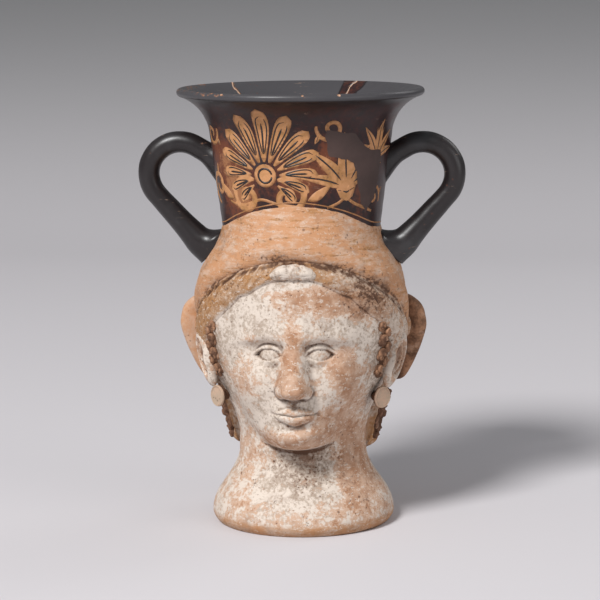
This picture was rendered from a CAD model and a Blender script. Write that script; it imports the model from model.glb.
import math

import bpy
import numpy as np
from mathutils import Matrix, Vector
from mathutils.geometry import delaunay_2d_cdt


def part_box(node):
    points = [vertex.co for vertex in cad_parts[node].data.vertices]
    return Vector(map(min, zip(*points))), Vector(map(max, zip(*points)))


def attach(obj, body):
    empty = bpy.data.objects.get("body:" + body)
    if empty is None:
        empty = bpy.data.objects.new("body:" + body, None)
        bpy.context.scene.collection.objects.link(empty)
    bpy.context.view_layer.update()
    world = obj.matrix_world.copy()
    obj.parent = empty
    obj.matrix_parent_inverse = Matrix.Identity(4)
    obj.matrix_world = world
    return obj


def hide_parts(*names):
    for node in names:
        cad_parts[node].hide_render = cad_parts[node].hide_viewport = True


bl_info = {
    "name": "Two-headed drinking cup",
    "version": (1, 0, 0),
    "blender": (4, 5, 0),
    "location": "View3D > Sidebar > Head cup",
    "description": "Dresses a two-headed clay drinking cup: sculpted heads, turned mouth, painted neck",
    "category": "Add Mesh",
}

# The woman faces -Y and the satyr +Y. Lengths are metres. A turn is in radians, counted from the
# middle of the face that it belongs to and positive towards +X.
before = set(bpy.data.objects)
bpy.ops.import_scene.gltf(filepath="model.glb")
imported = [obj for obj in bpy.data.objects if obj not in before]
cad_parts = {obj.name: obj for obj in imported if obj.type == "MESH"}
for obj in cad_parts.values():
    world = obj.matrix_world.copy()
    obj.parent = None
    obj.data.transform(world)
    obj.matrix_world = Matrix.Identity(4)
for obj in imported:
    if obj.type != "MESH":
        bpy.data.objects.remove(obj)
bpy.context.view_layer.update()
MM = 0.001
CUP_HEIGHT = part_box("mouth")[1].z
JOINT_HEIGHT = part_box("mouth")[0].z
RIM_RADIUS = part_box("mouth")[1].x
QUARTER_TURN = math.pi / 2
FRONT, BACK = -1, 1


def length(name, millimetres, note):
    return bpy.props.FloatProperty(
        name=name, description=note, default=millimetres * MM,
        min=0.0, soft_max=1.0, unit="LENGTH", precision=5,
    )


def degrees(name, default, note):
    return bpy.props.FloatProperty(
        name=name, description=note, default=math.radians(default), subtype="ANGLE"
    )


def number(name, default, note):
    return bpy.props.FloatProperty(name=name, description=note, default=default, min=0.0, soft_max=100.0)


def colour(name, default, note):
    return bpy.props.FloatVectorProperty(
        name=name, description=note, default=default, size=3, min=0.0, max=1.0, subtype="COLOR"
    )


class HeadCupSizes(bpy.types.PropertyGroup):
    """The sizes of the cup's forms."""

    neck_root: length("Neck root", 34.8, "Radius of the neck where it joins the heads")
    neck_top: length("Neck top", 40.6, "Radius of the neck where its flare starts")
    flare_height: length("Flare height", 19.5, "From the start of the flare to the rim")
    wall: length("Mouth wall", 3.5, "Thickness of the turned wall")
    crack: length("Crack", 0.16, "Half width of the glued breaks in the rim")
    foot_radius: length("Foot radius", 41, "Radius of the foot that both heads share")
    foot_bulge: length("Foot bulge height", 4.5, "Height of the fullest place of the foot")
    foot_inset: length("Foot edge", 2.5, "How far the rounded edge of the foot draws in")
    throat_height: length("Throat height", 33, "Height of the narrowest place")
    throat_width: length("Throat half width", 28.6, "Half width of the narrowest place")
    throat_depth: length("Throat half depth", 27.5, "Half depth of the narrowest place")
    head_width: length("Head half width", 45.6, "Half width of both heads")
    head_depth: length("Head half depth", 43, "Half depth of both heads")
    head_wall: length("Head wall", 5.2, "Thickness of the moulded wall")
    crown_lap: length("Crown lap", 16, "How far the crown can climb up the neck")
    floor_radius: length("Floor radius", 33, "Radius of the floor disc's seat")
    floor_top: length("Floor top", 7, "Height of the floor inside the foot")
    floor_ledge: length("Floor ledge", 2.5, "Ledge of clay over the floor disc")
    unevenness: length("Unevenness", 0.2, "How uneven the hand-pressed clay is")


class HeadCupWoman(bpy.types.PropertyGroup):
    """The sizes of the woman's face, hair and head cloth."""

    cloth_front: length("Cloth height", 122.5, "Height of the cloth's edge over the brow")
    cloth_drop: length("Cloth drop", 36, "How far that edge falls to the sides")
    cloth_roll: length("Cloth roll", 6.3, "Thickness of the roll at the cloth's edge")
    cloth_fade: length("Cloth fade", 24, "Height over which the roll thins out")
    hair: length("Hair", 2.4, "Thickness of the hair under the cloth")
    hair_wave: length("Hair wave", 3.4, "Width of one lock")
    hair_relief: length("Hair relief", 0.26, "Height of the locks' ridges")
    face_height: length("Face height", 72, "Chin to hairline")
    chin: length("Chin height", 39.5, "Height of the chin")
    face_width: length("Face half width", 33.2, "Half width of the face's egg")
    face_depth: length("Face depth", 46, "From the axis to the front of the face's egg")
    face_shift: length("Face shift", 14, "How far the egg's middle stands forward")
    eye_width: length("Eye width", 13.8, "Corner to corner")
    eye_spacing: length("Eye spacing", 24, "Between the middles of the eyes")
    eye_opening: length("Eye opening", 5.8, "Lid to lid")
    eyeball: length("Eyeball radius", 9, "Radius of the eyeball")
    eye_depth: length("Eyeball depth", 42.9, "From the axis to the front of the eyeball")
    lid: length("Lid", 1.05, "Thickness of the lids")
    brow: length("Brow ridge", 1.5, "Height of the brow's ridge")
    nose_tip: length("Nose tip", 54.3, "From the axis to the tip of the nose")
    nose_bridge: length("Nose bridge", 47.4, "From the axis to the bridge of the nose")
    nose_width: length("Nose ridge", 2.9, "Half width of the nose's ridge")
    nostril_depth: length("Nostril depth", 43.6, "From the axis to the root of the nostril's wing")
    nostril_wing: length("Nostril wing", 4.9, "Height of the nostril's wing")
    mouth_width: length("Mouth width", 19.2, "Corner to corner")
    upper_lip: length("Upper lip", 3.3, "Height of the upper lip")
    lower_lip: length("Lower lip", 4.2, "Height of the lower lip")
    lip_fullness: length("Lip fullness", 1.95, "How far the lips stand out")
    mouth_line: length("Mouth line", 0.95, "Depth of the line between the lips")
    ear_height: length("Ear half height", 13.2, "Half height of the ear")
    ear_width: length("Ear half width", 6.5, "Half width of the ear")
    ear_thickness: length("Ear half thickness", 3.7, "Half thickness of the ear")
    earring: length("Earring radius", 4.85, "Radius of the disc earring")
    earring_thickness: length("Earring thickness", 2.35, "Thickness of the disc earring")
    earring_turn: degrees("Earring turn", 46, "How far the earring turns from the front")
    knot_width: length("Knot half width", 4.5, "Half width of one lump of the brow knot")
    curl: length("Curl", 2.5, "Radius of one applied curl")


class HeadCupSatyr(bpy.types.PropertyGroup):
    """The sizes of the satyr's own features."""

    nose_width: length("Nose ridge", 4.2, "Half width of the nose's ridge")
    nose_tip: length("Nose tip", 54, "From the axis to the tip of the nose")
    beard: length("Beard", 8.6, "Thickness of the beard")
    beard_bottom: length("Beard bottom", 19, "Height of the beard's lowest lock")
    beard_rise: length("Beard rise", 17, "How far the beard's lower edge climbs to the sides")
    beard_edge: length("Beard edge", 6, "Width of the beard's rounded edges")
    hair: length("Hair", 3.4, "Thickness of the hair")
    hair_front: length("Hairline", 104, "Height of the hair over the brow")
    hair_drop: length("Hairline drop", 26, "How far that line falls to the sides")
    band: length("Head band", 1.6, "Thickness of the head band")
    band_half_height: length("Head band half height", 3.2, "Half height of the head band")
    band_lift: length("Head band lift", 9, "Height of the band over the hairline")
    ear_height: length("Ear height", 39.8, "Height of the leaf-shaped ear")
    ear_width: length("Ear width", 17.3, "Width of the leaf-shaped ear")
    ear_thickness: length("Ear thickness", 7.5, "Depth of the cupped ear")
    ear_turn: degrees("Ear turn", 24, "How far the ear turns back from the side")
    ear_lean: degrees("Ear lean", 6, "How far the ear leans outwards")
    moustache: length("Moustache", 2.6, "Radius of the moustache at its fullest")


class HeadCupHandles(bpy.types.PropertyGroup):
    """The sizes of the two pulled handles."""

    radius: length("Radius", 4.84, "Radius of the pulled roll")
    arm: length("Arm radius", 5.5, "Radius where the lower arm nears the crown")
    foot: length("Foot radius", 7.2, "Radius where the lower arm meets the crown")
    loop: length("Loop radius", 14.2, "Radius of the bend")
    loop_offset: length("Loop offset", 54.2, "From the axis to the middle of the bend")
    loop_height: length("Loop height", 156.6, "Height of the middle of the bend")
    arm_angle: degrees("Arm angle", 42, "Slope of the lower arm from the upright")
    root_angle: degrees("Root angle", 30, "How far the bend runs past its top")
    flare: length("Flare", 1.0, "How much wider the roll gets where it was pressed on")
    web: length("Web", 7.0, "How far smeared clay fills the corners inside both roots")
    sides: bpy.props.IntProperty(
        name="Sides", description="Faces round the roll", default=40, min=8, max=128
    )


class HeadCupFinish(bpy.types.PropertyGroup):
    """The colours of the cup and of the studio."""

    slip: colour("White slip", (0.655, 0.565, 0.485), "White slip over the fired clay")
    pale_clay: colour("Pale clay", (0.54, 0.36, 0.255), "Pinkish clay with a trace of slip on it")
    clay: colour("Clay", (0.39, 0.205, 0.115), "Orange-buff fired clay")
    grey_slip: colour("Greyed slip", (0.43, 0.345, 0.275), "Slip greyed by burial")
    cloth_clay: colour("Cloth clay", (0.50, 0.255, 0.130), "Orange clay of the head cloth")
    grime: colour("Grime", (0.215, 0.135, 0.095), "Thin brown film")
    ochre: colour("Ochre", (0.36, 0.17, 0.055), "Ochre left on hair and foot")
    stain: colour("Stain", (0.105, 0.05, 0.028), "Brown stains from burial")
    curl_clay: colour("Curl clay", (0.225, 0.115, 0.070), "Browned clay of the curls behind the earrings")
    gloss: colour("Black gloss", (0.0145, 0.0108, 0.0112), "Black gloss of the mouth and handles")
    brown_gloss: colour("Brown gloss", (0.036, 0.012, 0.011), "Gloss that fired brown on the neck")
    misfired: colour("Misfired gloss", (0.135, 0.038, 0.016), "Red-brown where the gloss fired badly")
    inside_gloss: colour("Inside gloss", (0.080, 0.077, 0.083), "Gloss inside the mouth, dulled by wear")
    grey_bloom: colour("Grey bloom", (0.10, 0.105, 0.11), "Grey cloudiness of old gloss")
    figure: colour("Reserved clay", (0.55, 0.265, 0.115), "Bare clay of the painted figures")
    plaster: colour("Plaster", (0.060, 0.036, 0.031), "Retouched plaster fill")
    earring: colour("Earring", (0.42, 0.32, 0.235), "Worn clay of the earrings")
    floor: colour("Floor", (0.62, 0.595, 0.612), "Studio floor")
    backdrop: colour("Backdrop", (0.188, 0.188, 0.190), "Top of the studio backdrop")
    key_power: number("Key light", 96.0, "Power of the key light in watts")
    fill_power: number("Fill light", 3.8, "Power of the fill light in watts")
    sky: number("Sky", 0.275, "Strength of the light from all round")


def sizes():
    return bpy.context.scene.head_cup_sizes


def woman_sizes():
    return bpy.context.scene.head_cup_woman


def satyr_sizes():
    return bpy.context.scene.head_cup_satyr


def handle_sizes():
    return bpy.context.scene.head_cup_handles


def finish():
    return bpy.context.scene.head_cup_finish


# Of the way from throat to crown: shares of the swelling across, and in depth
HEAD_OUTLINE_SHARES = np.array([
    (0, 0, 0), (0.062, 0, 0.03), (0.133, 0.088, 0.215), (0.204, 0.253, 0.4),
    (0.274, 0.5, 0.613), (0.345, 0.753, 0.8), (0.416, 0.912, 0.92), (0.504, 0.99, 0.98),
    (0.593, 1, 1), (0.664, 0.964, 1), (0.717, 0.92, 0.98), (0.77, 0.75, 0.9),
    (0.823, 0.54, 0.78), (0.876, 0.397, 0.66), (0.929, 0.32, 0.56), (1, 0.253, 0.46),
])
# Of the face's height over the chin: shares of the half width and depth of the face's egg
FACE_EGG_SHARES = np.array([
    (-0.085, 0.12, 0.3), (-0.05, 0.27, 0.52), (-0.02, 0.38, 0.73), (0.01, 0.47, 0.86),
    (0.05, 0.54, 0.917), (0.1, 0.62, 0.94), (0.17, 0.71, 0.926), (0.25, 0.8, 0.94),
    (0.35, 0.89, 0.952), (0.45, 0.95, 0.957), (0.56, 0.99, 0.97), (0.66, 1, 0.99),
    (0.76, 0.99, 1), (0.88, 0.96, 0.99), (1, 0.9, 0.965), (1.12, 0.8, 0.89),
    (1.22, 0.6, 0.74),
])
# Mounds and hollows in thirds of the face: out, up from the chin, half width, half height, height
WOMAN_MOUND_SHARES = [
    (0, 0.22, 0.354, 0.208, 0.1), (0.813, 1.21, 0.354, 0.396, 0.079),
    (0.583, 0.71, 0.208, 0.25, -0.033), (0.396, 0.92, 0.075, 0.19, -0.019),
    (0, 0.69, 0.479, 0.283, 0.075), (0.425, 0.69, 0.058, 0.067, -0.029),
    (0, 0.41, 0.313, 0.075, -0.038), (0, 0.88, 0.046, 0.092, -0.021),
    (0.092, 0.875, 0.038, 0.1, 0.008), (0.488, 1.8, 0.367, 0.25, -0.183),
    (0.208, 1.77, 0.092, 0.167, -0.042),
]
SATYR_MOUND_SHARES = [
    (0.167, 2.1, 0.125, 0.125, 0.048), (0, 2.06, 0.058, 0.125, -0.04),
    (0.708, 1.31, 0.292, 0.229, 0.07), (0, 0.64, 0.333, 0.133, 0.045),
    (0, 0.58, 0.25, 0.071, 0.08), (0, 0.75, 0.29, 0.05, 0.04),
    (0.488, 1.8, 0.367, 0.25, -0.183), (0.208, 1.77, 0.092, 0.167, -0.042),
]
# In thirds of the face over the nose's base: share of the way from bridge depth to tip depth
WOMAN_NOSE_SHARES = np.array([
    (-0.133, -1.2), (-0.038, -0.24), (0.029, 0.67), (0.142, 1), (0.333, 0.76),
    (0.625, 0.37), (0.896, 0), (1.208, -0.15), (1.458, -0.56),
])
SATYR_NOSE_SHARES = np.array([
    (-0.133, -1.2), (-0.038, -0.24), (0.029, 0.67), (0.142, 1), (0.333, 0.58),
    (0.625, 0.05), (0.896, -0.12), (1.208, -0.2), (1.458, -0.56),
])
# At like heights: share of the ridge's half width, and steepness of the nose's sides
NOSE_SECTION_SHARES = np.array([
    (-0.125, 0.76, 2.2), (0, 0.93, 2), (0.167, 1, 1.8),
    (0.5, 0.66, 1.45), (0.79, 0.62, 1.15), (1.333, 1.72, 0.9),
])
# The breaks in the mouth: shares of the rim's radius across, and of the mouth's height up
SHERD_SHARES = [
    (-0.72, 1.06), (-0.56, 0.93), (-0.43, 0.8), (-0.21, 0.65),
    (0.06, 0.62), (0.23, 0.76), (0.33, 0.93), (0.44, 1.06),
]
FILL_SHARES = [
    (0.256, 0.76), (0.475, 0.714), (0.591, 0.603), (0.66, 0.592), (0.65, 0.446), (0.607, 0.27),
    (0.54, 0.18), (0.513, 0.242), (0.491, 0.395), (0.462, 0.526), (0.278, 0.578), (0.256, 0.68),
]
# The satyr's ear from lobe to top: share of its height, of its width, and how far it leans out
SATYR_EAR_SHARES = np.array([
    (0, 0.26, -0.1), (0.12, 0.48, -0.04), (0.3, 0.7, 0.02), (0.5, 0.9, 0.06),
    (0.68, 1, 0.08), (0.84, 0.86, 0.06), (0.94, 0.6, 0.02), (1, 0.3, -0.02),
])
# Curls: degrees from the front, share of the joint's height, share of a curl's size
TEMPLE_CURL_SHARES = [
    (56, 0.712, 0.8), (59.5, 0.69, 0.95), (57.5, 0.664, 1.05), (61, 0.64, 1.1),
    (58, 0.614, 1.05), (61, 0.588, 1.05), (58.5, 0.562, 0.95), (61, 0.538, 0.8),
]
SIDE_CURL_SHARES = [
    (96, 0.44, 0.95), (98.5, 0.418, 1.1), (96.5, 0.392, 1.2), (99, 0.366, 1.2),
    (96.5, 0.34, 1.15), (98.5, 0.314, 1.05), (97, 0.29, 0.85),
]
# The moustache from under the nose to its tip: shares of its reach, drop and thickness
MOUSTACHE_SHARES = np.array([
    (-0.1, 0, 0.55), (0.16, 0.02, 0.9), (0.36, 0.12, 1), (0.58, 0.36, 0.95),
    (0.78, 0.66, 0.75), (0.92, 0.88, 0.5), (1, 1, 0.25),
])
MOUSTACHE_REACH, MOUSTACHE_DROP = 15.5 * MM, 11 * MM
# Where slip is gone (above 0) or thick (below 0) on the woman's side, in millimetres:
# across, height, half width, half height, amount
WOMAN_WEAR = [
    (5, 107, 16, 5.5, 0.75), (19, 103, 8, 6, 0.6), (-20, 104, 9, 7, -0.55), (-5, 113, 12, 3.5, -0.45),
    (0, 84, 3.4, 15, 0.6), (0, 69, 7, 4, 0.75), (-5, 77, 3, 7, 0.45), (20, 77, 7, 7, 0.65),
    (24, 66, 5, 10, 0.55), (14, 52, 7, 8, 0.65), (-12, 80, 6, 7, -0.5), (-23, 66, 6, 10, 0.3),
    (-12, 57, 8, 7, -0.5), (-3, 43, 11, 4, 0.4), (-13, 93, 9, 4, -0.4), (14, 92, 9, 4, -0.35),
    (23, 38, 6, 14, 0.85), (26, 28, 7, 9, 0.45), (0, 31, 12, 5, 0.1), (-14, 24, 10, 6, -0.25),
    (2, 18, 14, 5, -0.3), (-30, 14, 8, 7, 0.2), (28, 15, 10, 9, 0.55), (8, 78, 4, 6, -0.3),
    (31, 102, 8, 6, 0.75), (9, 60, 6, 4, -0.35), (-29, 88, 5, 10, -0.35), (28, 84, 4, 8, -0.05),
    (-21, 31, 7, 12, 0.3), (24, 92, 5, 7, -0.3),
]
SATYR_WEAR = [
    (-8, 92, 12, 8, 0.35), (12, 72, 10, 8, 0.3), (-14, 60, 14, 12, 0.25), (10, 40, 16, 12, 0.2),
    (0, 84, 3.4, 12, 0.3), (16, 98, 8, 6, -0.2), (-18, 30, 12, 9, 0.2), (4, 12, 20, 6, -0.2),
]
# Dirt on the woman's side, in the same columns: under the chin, on the throat, under and over the roll
WOMAN_STAINS = [
    (2, 35.5, 17, 3, 0.4), (3, 28, 14, 8, 0.8), (31, 107, 10, 9, 1.2), (-31, 104, 8, 6, 0.28),
    (-33, 131, 6, 5, 0.36), (27, 22, 9, 12, 0.28), (-9, 124.5, 11, 1.8, 0.72), (17, 120, 8, 1.8, 0.56),
]
# Chips in the lip: how far across they lie, and their size
LIP_CHIPS = [(5.5 * MM, 0.65 * MM), (20.7 * MM, 0.8 * MM), (-30 * MM, 0.7 * MM)]
SHERD_SEED, FILL_SEED = 31, 33
# The woman's ear on the +X side: its middle, its upward way, and its turn from the front
WOMAN_EAR_CENTRE = np.array([42.0, -11.0, 75.0]) * MM
WOMAN_EAR_UP, WOMAN_EAR_TURN = (7.6, 6.0, 26.8), math.radians(68)
# The middle of the right earring, the foot of the satyr's ear on the +X side, and the brow knot's height
EARRING_CENTRE = np.array([35.6, -14.6, 58.6]) * MM
SATYR_EAR_FOOT = np.array([43.8, 8.5, 62.0]) * MM
KNOT_HEIGHT = 118.4 * MM
# The earring from its stub to its face: shares of its radius and of its thickness
EARRING_SHARES = np.array([
    (0.46, -1.5), (0.5, -0.2), (0.82, 0), (0.94, 0.1), (1, 0.35), (1, 0.7), (0.97, 0.92),
    (0.92, 1), (0.87, 0.96), (0.83, 0.87), (0.72, 0.84), (0.5, 0.84), (0.3, 0.86), (0.14, 0.88),
])
# Places on the mouth where the gloss fired red: turn in degrees, height, and half sizes, in millimetres
MISFIRED_PATCHES = [
    (-48, 158, 10, 14, 0.75), (-36, 149, 8, 8, 0.6), (4, 157, 9, 11, 0.75), (22, 166, 5, 10, 0.5),
    (50, 150, 6, 10, 0.45), (-62, 170, 8, 10, 0.35), (120, 160, 14, 14, 0.5), (-150, 152, 16, 10, 0.5),
    (176, 170, 12, 8, 0.4),
]


def steady_curve(table, column, places):
    """A monotone cubic through two columns of a table, at many places at once."""
    xs, ys = table[:, 0], table[:, column]
    spans, rises = np.diff(xs), np.diff(ys)
    slopes = rises / spans
    product = slopes[:-1] * slopes[1:]
    total = np.where(product > 0, slopes[:-1] + slopes[1:], 1.0)
    middle = np.where(product > 0, 2 * product / total, 0.0)
    tangents = np.concatenate([slopes[:1], middle, slopes[-1:]])
    places = np.clip(places, xs[0], xs[-1])
    i = np.clip(np.searchsorted(xs, places, side="right") - 1, 0, len(spans) - 1)
    t = (places - xs[i]) / spans[i]
    bend_in = spans[i] * tangents[i] - rises[i]
    bend_out = rises[i] - spans[i] * tangents[i + 1]
    return ys[i] + t * rises[i] + t * (1 - t) * ((1 - t) * bend_in + t * bend_out)


def smooth_max(a, b, blend):
    """The larger of two radii, with a soft valley where they meet."""
    near = np.maximum(blend - np.abs(a - b), 0.0) / blend
    return np.maximum(a, b) + near * near * blend / 4


def smooth_step(share):
    share = np.clip(share, 0.0, 1.0)
    return share * share * (3 - 2 * share)


def mound(across, up, half_width, half_height):
    return np.exp(-((across / half_width) ** 2) - (up / half_height) ** 2)


def patches(table, across, up):
    """The sum of a table's mounds: middle across, height, half width, half height, amount."""
    return sum(
        amount * mound(across - middle, up - height, half_width, half_height)
        for middle, height, half_width, half_height, amount in table
    )


def crest(away, width):
    """1 where away is 0, falling off like a bell on both sides."""
    return np.exp(-((away / width) ** 2))


def dome(share):
    return np.sqrt(np.maximum(1 - share * share, 0.0))


def round_turns(count):
    """Even turns all the way round, without the first again at the end."""
    return np.linspace(0, 2 * np.pi, count, endpoint=False)


def round_axis(radius, turns, z, facing=FRONT):
    """Points at a distance from the axis, a turn and a height."""
    return np.stack([radius * np.sin(turns), facing * radius * np.cos(turns), z + 0 * turns], -1)


def smoothed(line, passes):
    """A line whose inner points are drawn to the middle of their neighbours, some times over."""
    for _ in range(passes):
        line[1:-1] = (line[:-2] + 2 * line[1:-1] + line[2:]) / 4
    return line


def finer(table, count):
    """A table's two columns at more, even places."""
    t, fine = np.linspace(0, 1, len(table)), np.linspace(0, 1, count)
    return np.stack([np.interp(fine, t, table[:, column]) for column in (0, 1)], 1)


def unit(way):
    return np.array(way) / np.linalg.norm(way)


def turning_area(outline):
    """Twice an outline's area, above 0 where it runs anticlockwise."""
    x, y = outline[:, 0], outline[:, 1]
    return np.sum(x * np.roll(y, -1) - y * np.roll(x, -1))


def cell_noise(cells, seed):
    """A repeatable number from 0 to 1 for each whole-numbered cell, mixed by large odd numbers."""
    x, y, z = (cells[..., k].astype(np.int64) for k in range(3))
    mixed = x * 374761393 + y * 668265263 + z * 974634777 + seed * 1274126177
    mixed = ((mixed ^ (mixed >> 13)) * 1103515245) & 0x7FFFFFFF
    mixed = ((mixed ^ (mixed >> 16)) * 1299709) & 0x7FFFFFFF
    return (mixed & 0xFFFF) / 65535.0


def lumps(points, grain, seed=0):
    """Smooth noise from -1 to 1, whose lumps are about as large as the grain."""
    scaled = points / grain
    base = np.floor(scaled)
    part = smooth_step(scaled - base)
    total = 0.0
    for corner in range(8):
        offset = np.array([corner & 1, corner >> 1 & 1, corner >> 2 & 1])
        weight = np.prod(np.where(offset, part, 1 - part), axis=-1)
        total = total + weight * cell_noise(base + offset, seed)
    return 2 * total - 1


def layered_lumps(points, grain, layers=3, seed=0):
    return sum(lumps(points, grain / 2**k, seed + k) / 2**k for k in range(layers))


class Heads:
    """The sculpted surfaces, each as a distance from the axis over turn and height."""

    def __init__(self):
        self.s, self.w, self.b = sizes(), woman_sizes(), satyr_sizes()
        self.crown_top = JOINT_HEIGHT + self.s.crown_lap
        self.third = self.w.face_height / 3
        self.nose_base = self.w.chin + self.third
        self.brow_height = self.nose_base + self.third
        self.eye_height = self.brow_height - self.third / 4
        self.mouth_height = self.nose_base - self.third / 3

    def half_sizes(self, z):
        """Half width and half depth of the plain head."""
        s = self.s
        climb = (z - s.throat_height) / (self.crown_top - s.throat_height)
        fall = np.clip((z - s.foot_bulge) / (s.throat_height - s.foot_bulge), 0.0, 1.0)
        foot = (1 + np.cos(np.pi * fall)) / 2
        edge = s.foot_inset * (np.maximum(s.foot_bulge - z, 0.0) / s.foot_bulge) ** 2
        halves = []
        for throat, full, column in (
            (s.throat_width, s.head_width, 1),
            (s.throat_depth, s.head_depth, 2),
        ):
            swelling = (full - throat) * steady_curve(HEAD_OUTLINE_SHARES, column, climb)
            halves.append(throat + swelling + (s.foot_radius - throat) * foot - edge)
        return halves

    @staticmethod
    def ellipse(turn, half_width, half_depth, shift=0.0):
        sine, cosine = np.sin(turn), np.cos(turn)
        a = (sine / half_width) ** 2 + (cosine / half_depth) ** 2
        b = cosine * shift / half_depth**2
        under_root = b * b - a * ((shift / half_depth) ** 2 - 1)
        return (b + np.sqrt(np.maximum(under_root, 0.0))) / a

    def face_mass(self, turn, z):
        """The egg of the face, zero where it doesn't reach."""
        w = self.w
        share = (z - w.chin) / w.face_height
        half_width = w.face_width * steady_curve(FACE_EGG_SHARES, 1, share)
        half_depth = w.face_depth * steady_curve(FACE_EGG_SHARES, 2, share) - w.face_shift
        inside = (share > FACE_EGG_SHARES[0, 0]) & (share < FACE_EGG_SHARES[-1, 0])
        inside &= (half_depth > 0) & (np.cos(turn) > 0)
        inside &= w.face_shift * np.abs(np.sin(turn)) < half_width
        radius = self.ellipse(turn, half_width, np.maximum(half_depth, MM), w.face_shift)
        return np.where(inside, radius, 0.0)

    def plain_face(self, turn, z):
        plain = smooth_max(self.ellipse(turn, *self.half_sizes(z)), self.face_mass(turn, z), 4 * MM)
        return plain, smooth_step((np.cos(turn) - 0.45) / 0.25)

    def mounds(self, table, x, z):
        third = self.third
        total = 0.0
        for across, up, half_width, half_height, height in table:
            out = np.abs(x) - across * third
            rise = z - self.w.chin - up * third
            total = total + height * third * mound(out, rise, half_width * third, half_height * third)
        return total

    def brow_relief(self, x, z):
        half = self.w.eye_width / 2
        out = (np.abs(x) - self.w.eye_spacing / 2) / (1.7 * half)
        rise = z - self.brow_height - 0.2 * half * (1 - out * out)
        ridge = crest(rise, np.where(rise > 0, 0.66 * half, 0.3 * half))
        ends = smooth_step((np.abs(x) + 0.3 * half) / half) * smooth_step(1.6 - np.abs(out))
        return self.w.brow * ridge * ends

    def with_eyes(self, radius, x, z):
        """The face with its eyeballs, and with lids that overlap them."""
        w = self.w
        half = w.eye_width / 2
        out = np.abs(x) - w.eye_spacing / 2
        up = z - self.eye_height
        reach = np.minimum(np.abs(out) / half, 1.0)
        ball = w.eye_depth - w.eyeball * (1 - dome(np.hypot(out, up) / w.eyeball)) - 0.26 * out
        slant = 0.06 * out
        upper = 0.56 * w.eye_opening * (1 - reach**2.3) - slant
        lower = -0.44 * w.eye_opening * (1 - reach**2.1) - slant
        inside = np.where(reach < 1, np.minimum(upper - up, up - lower), -half)
        outside = np.maximum(-inside - 1.1 * w.lid, 0.0)
        lid = ball + w.lid * np.where(up > 0, 1.1, 0.85) - 1.1 * outside**2 / half
        near = (np.abs(out) < 1.22 * half) & (np.abs(up) < 1.1 * half)
        covered = np.where(near, smooth_max(radius, lid, 1.4 * w.lid), radius)
        opened = smooth_step((inside + 0.1 * w.lid) / (0.5 * w.lid))
        shaped = covered + (np.minimum(covered, ball) - covered) * opened
        crease = upper + 2.1 * w.lid * (1 - 0.3 * reach)
        groove = crest(up - crease, 0.5 * w.lid)
        return shaped - 0.5 * w.lid * groove * smooth_step(2.2 * (1.08 - np.abs(out) / half))

    def with_nose(self, radius, x, z, line, tip, half_width):
        w = self.w
        share = (z - self.nose_base) / self.third
        ridge = w.nose_bridge + steady_curve(line, 1, share) * (tip - w.nose_bridge)
        flat_half = half_width * steady_curve(NOSE_SECTION_SHARES, 1, share)
        over = smooth_max(np.abs(x) - flat_half, 0.0 * x, 1.6 * MM)
        steepness = steady_curve(NOSE_SECTION_SHARES, 2, share) * w.nose_width / half_width
        inside = (share > line[0, 0]) & (share < line[-1, 0])
        radius = smooth_max(radius, np.where(inside, ridge - steepness * over, 0.0), 2.6 * MM)
        wing_x = (np.abs(x) - 1.72 * half_width) / half_width
        wing_z = (z - self.nose_base - 0.1 * self.third) / (0.13 * self.third)
        reach = np.hypot(wing_x, wing_z)
        wing = w.nostril_depth + w.nostril_wing * dome(reach)
        radius = smooth_max(radius, np.where(reach < 1, wing, 0.0), 2.4 * MM)
        behind = crest(reach - 1.15, 0.22) * (np.abs(x) > 1.8 * half_width)
        radius = radius - 0.35 * MM * behind * smooth_step((z - self.nose_base) / (2 * MM))
        hole = mound(np.abs(x) - half_width, z - self.nose_base + 0.5 * MM, 0.45 * half_width, 0.8 * MM)
        return radius - 2.0 * MM * hole

    def lip_relief(self, x, z):
        w = self.w
        half = w.mouth_width / 2
        reach = np.minimum(np.abs(x) / half, 1.0)
        line = self.mouth_height + 0.05 * half * reach**2
        line = line - 0.03 * half * np.cos(7 * reach) * (1 - reach)
        bow = 1 + 0.12 * mound(np.abs(x) / half - 0.23, 0, 0.15, 1) - 0.18 * mound(x / half, 0, 0.12, 1)
        lift = 0.0
        for height, sign, lean, taper, fullness in (
            (w.upper_lip * bow, 1, 0.38, 1.8, 0.9),
            (w.lower_lip, -1, 0.40, 2.2, 1.1),
        ):
            share = sign * (z - line) / (height * (1 - reach**taper) + 0.1 * w.mouth_line)
            away = np.clip(np.abs(share - lean) / (1 - lean), 0.0, 1.0)
            raised = fullness * w.lip_fullness * dome(away) * (1 - reach**2.3)
            lift = np.maximum(lift, np.where((share > -0.25) & (share < 1), raised, 0.0))
        groove = crest(z - line, 0.45 * w.mouth_line)
        return lift - w.mouth_line * groove * smooth_step(6.5 * (1 - np.abs(x) / half) + 0.5)

    def cloth_edge(self, turn):
        return self.w.cloth_front - self.w.cloth_drop * np.abs(turn / QUARTER_TURN) ** 1.9

    def satyr_hair_edge(self, turn):
        return self.b.hair_front - self.b.hair_drop * np.abs(turn / QUARTER_TURN) ** 2.4

    @staticmethod
    def roll_over(rise, thickness, roll, fade):
        """A layer with a round lower edge, which thins out again as it climbs."""
        edge = dome(np.maximum(1 - np.maximum(rise, 0.0) / roll, 0.0))
        layer = thickness * edge * (1 - 0.85 * smooth_step((rise - roll) / fade))
        return np.where(rise > 0, layer, 0.0)

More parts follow.
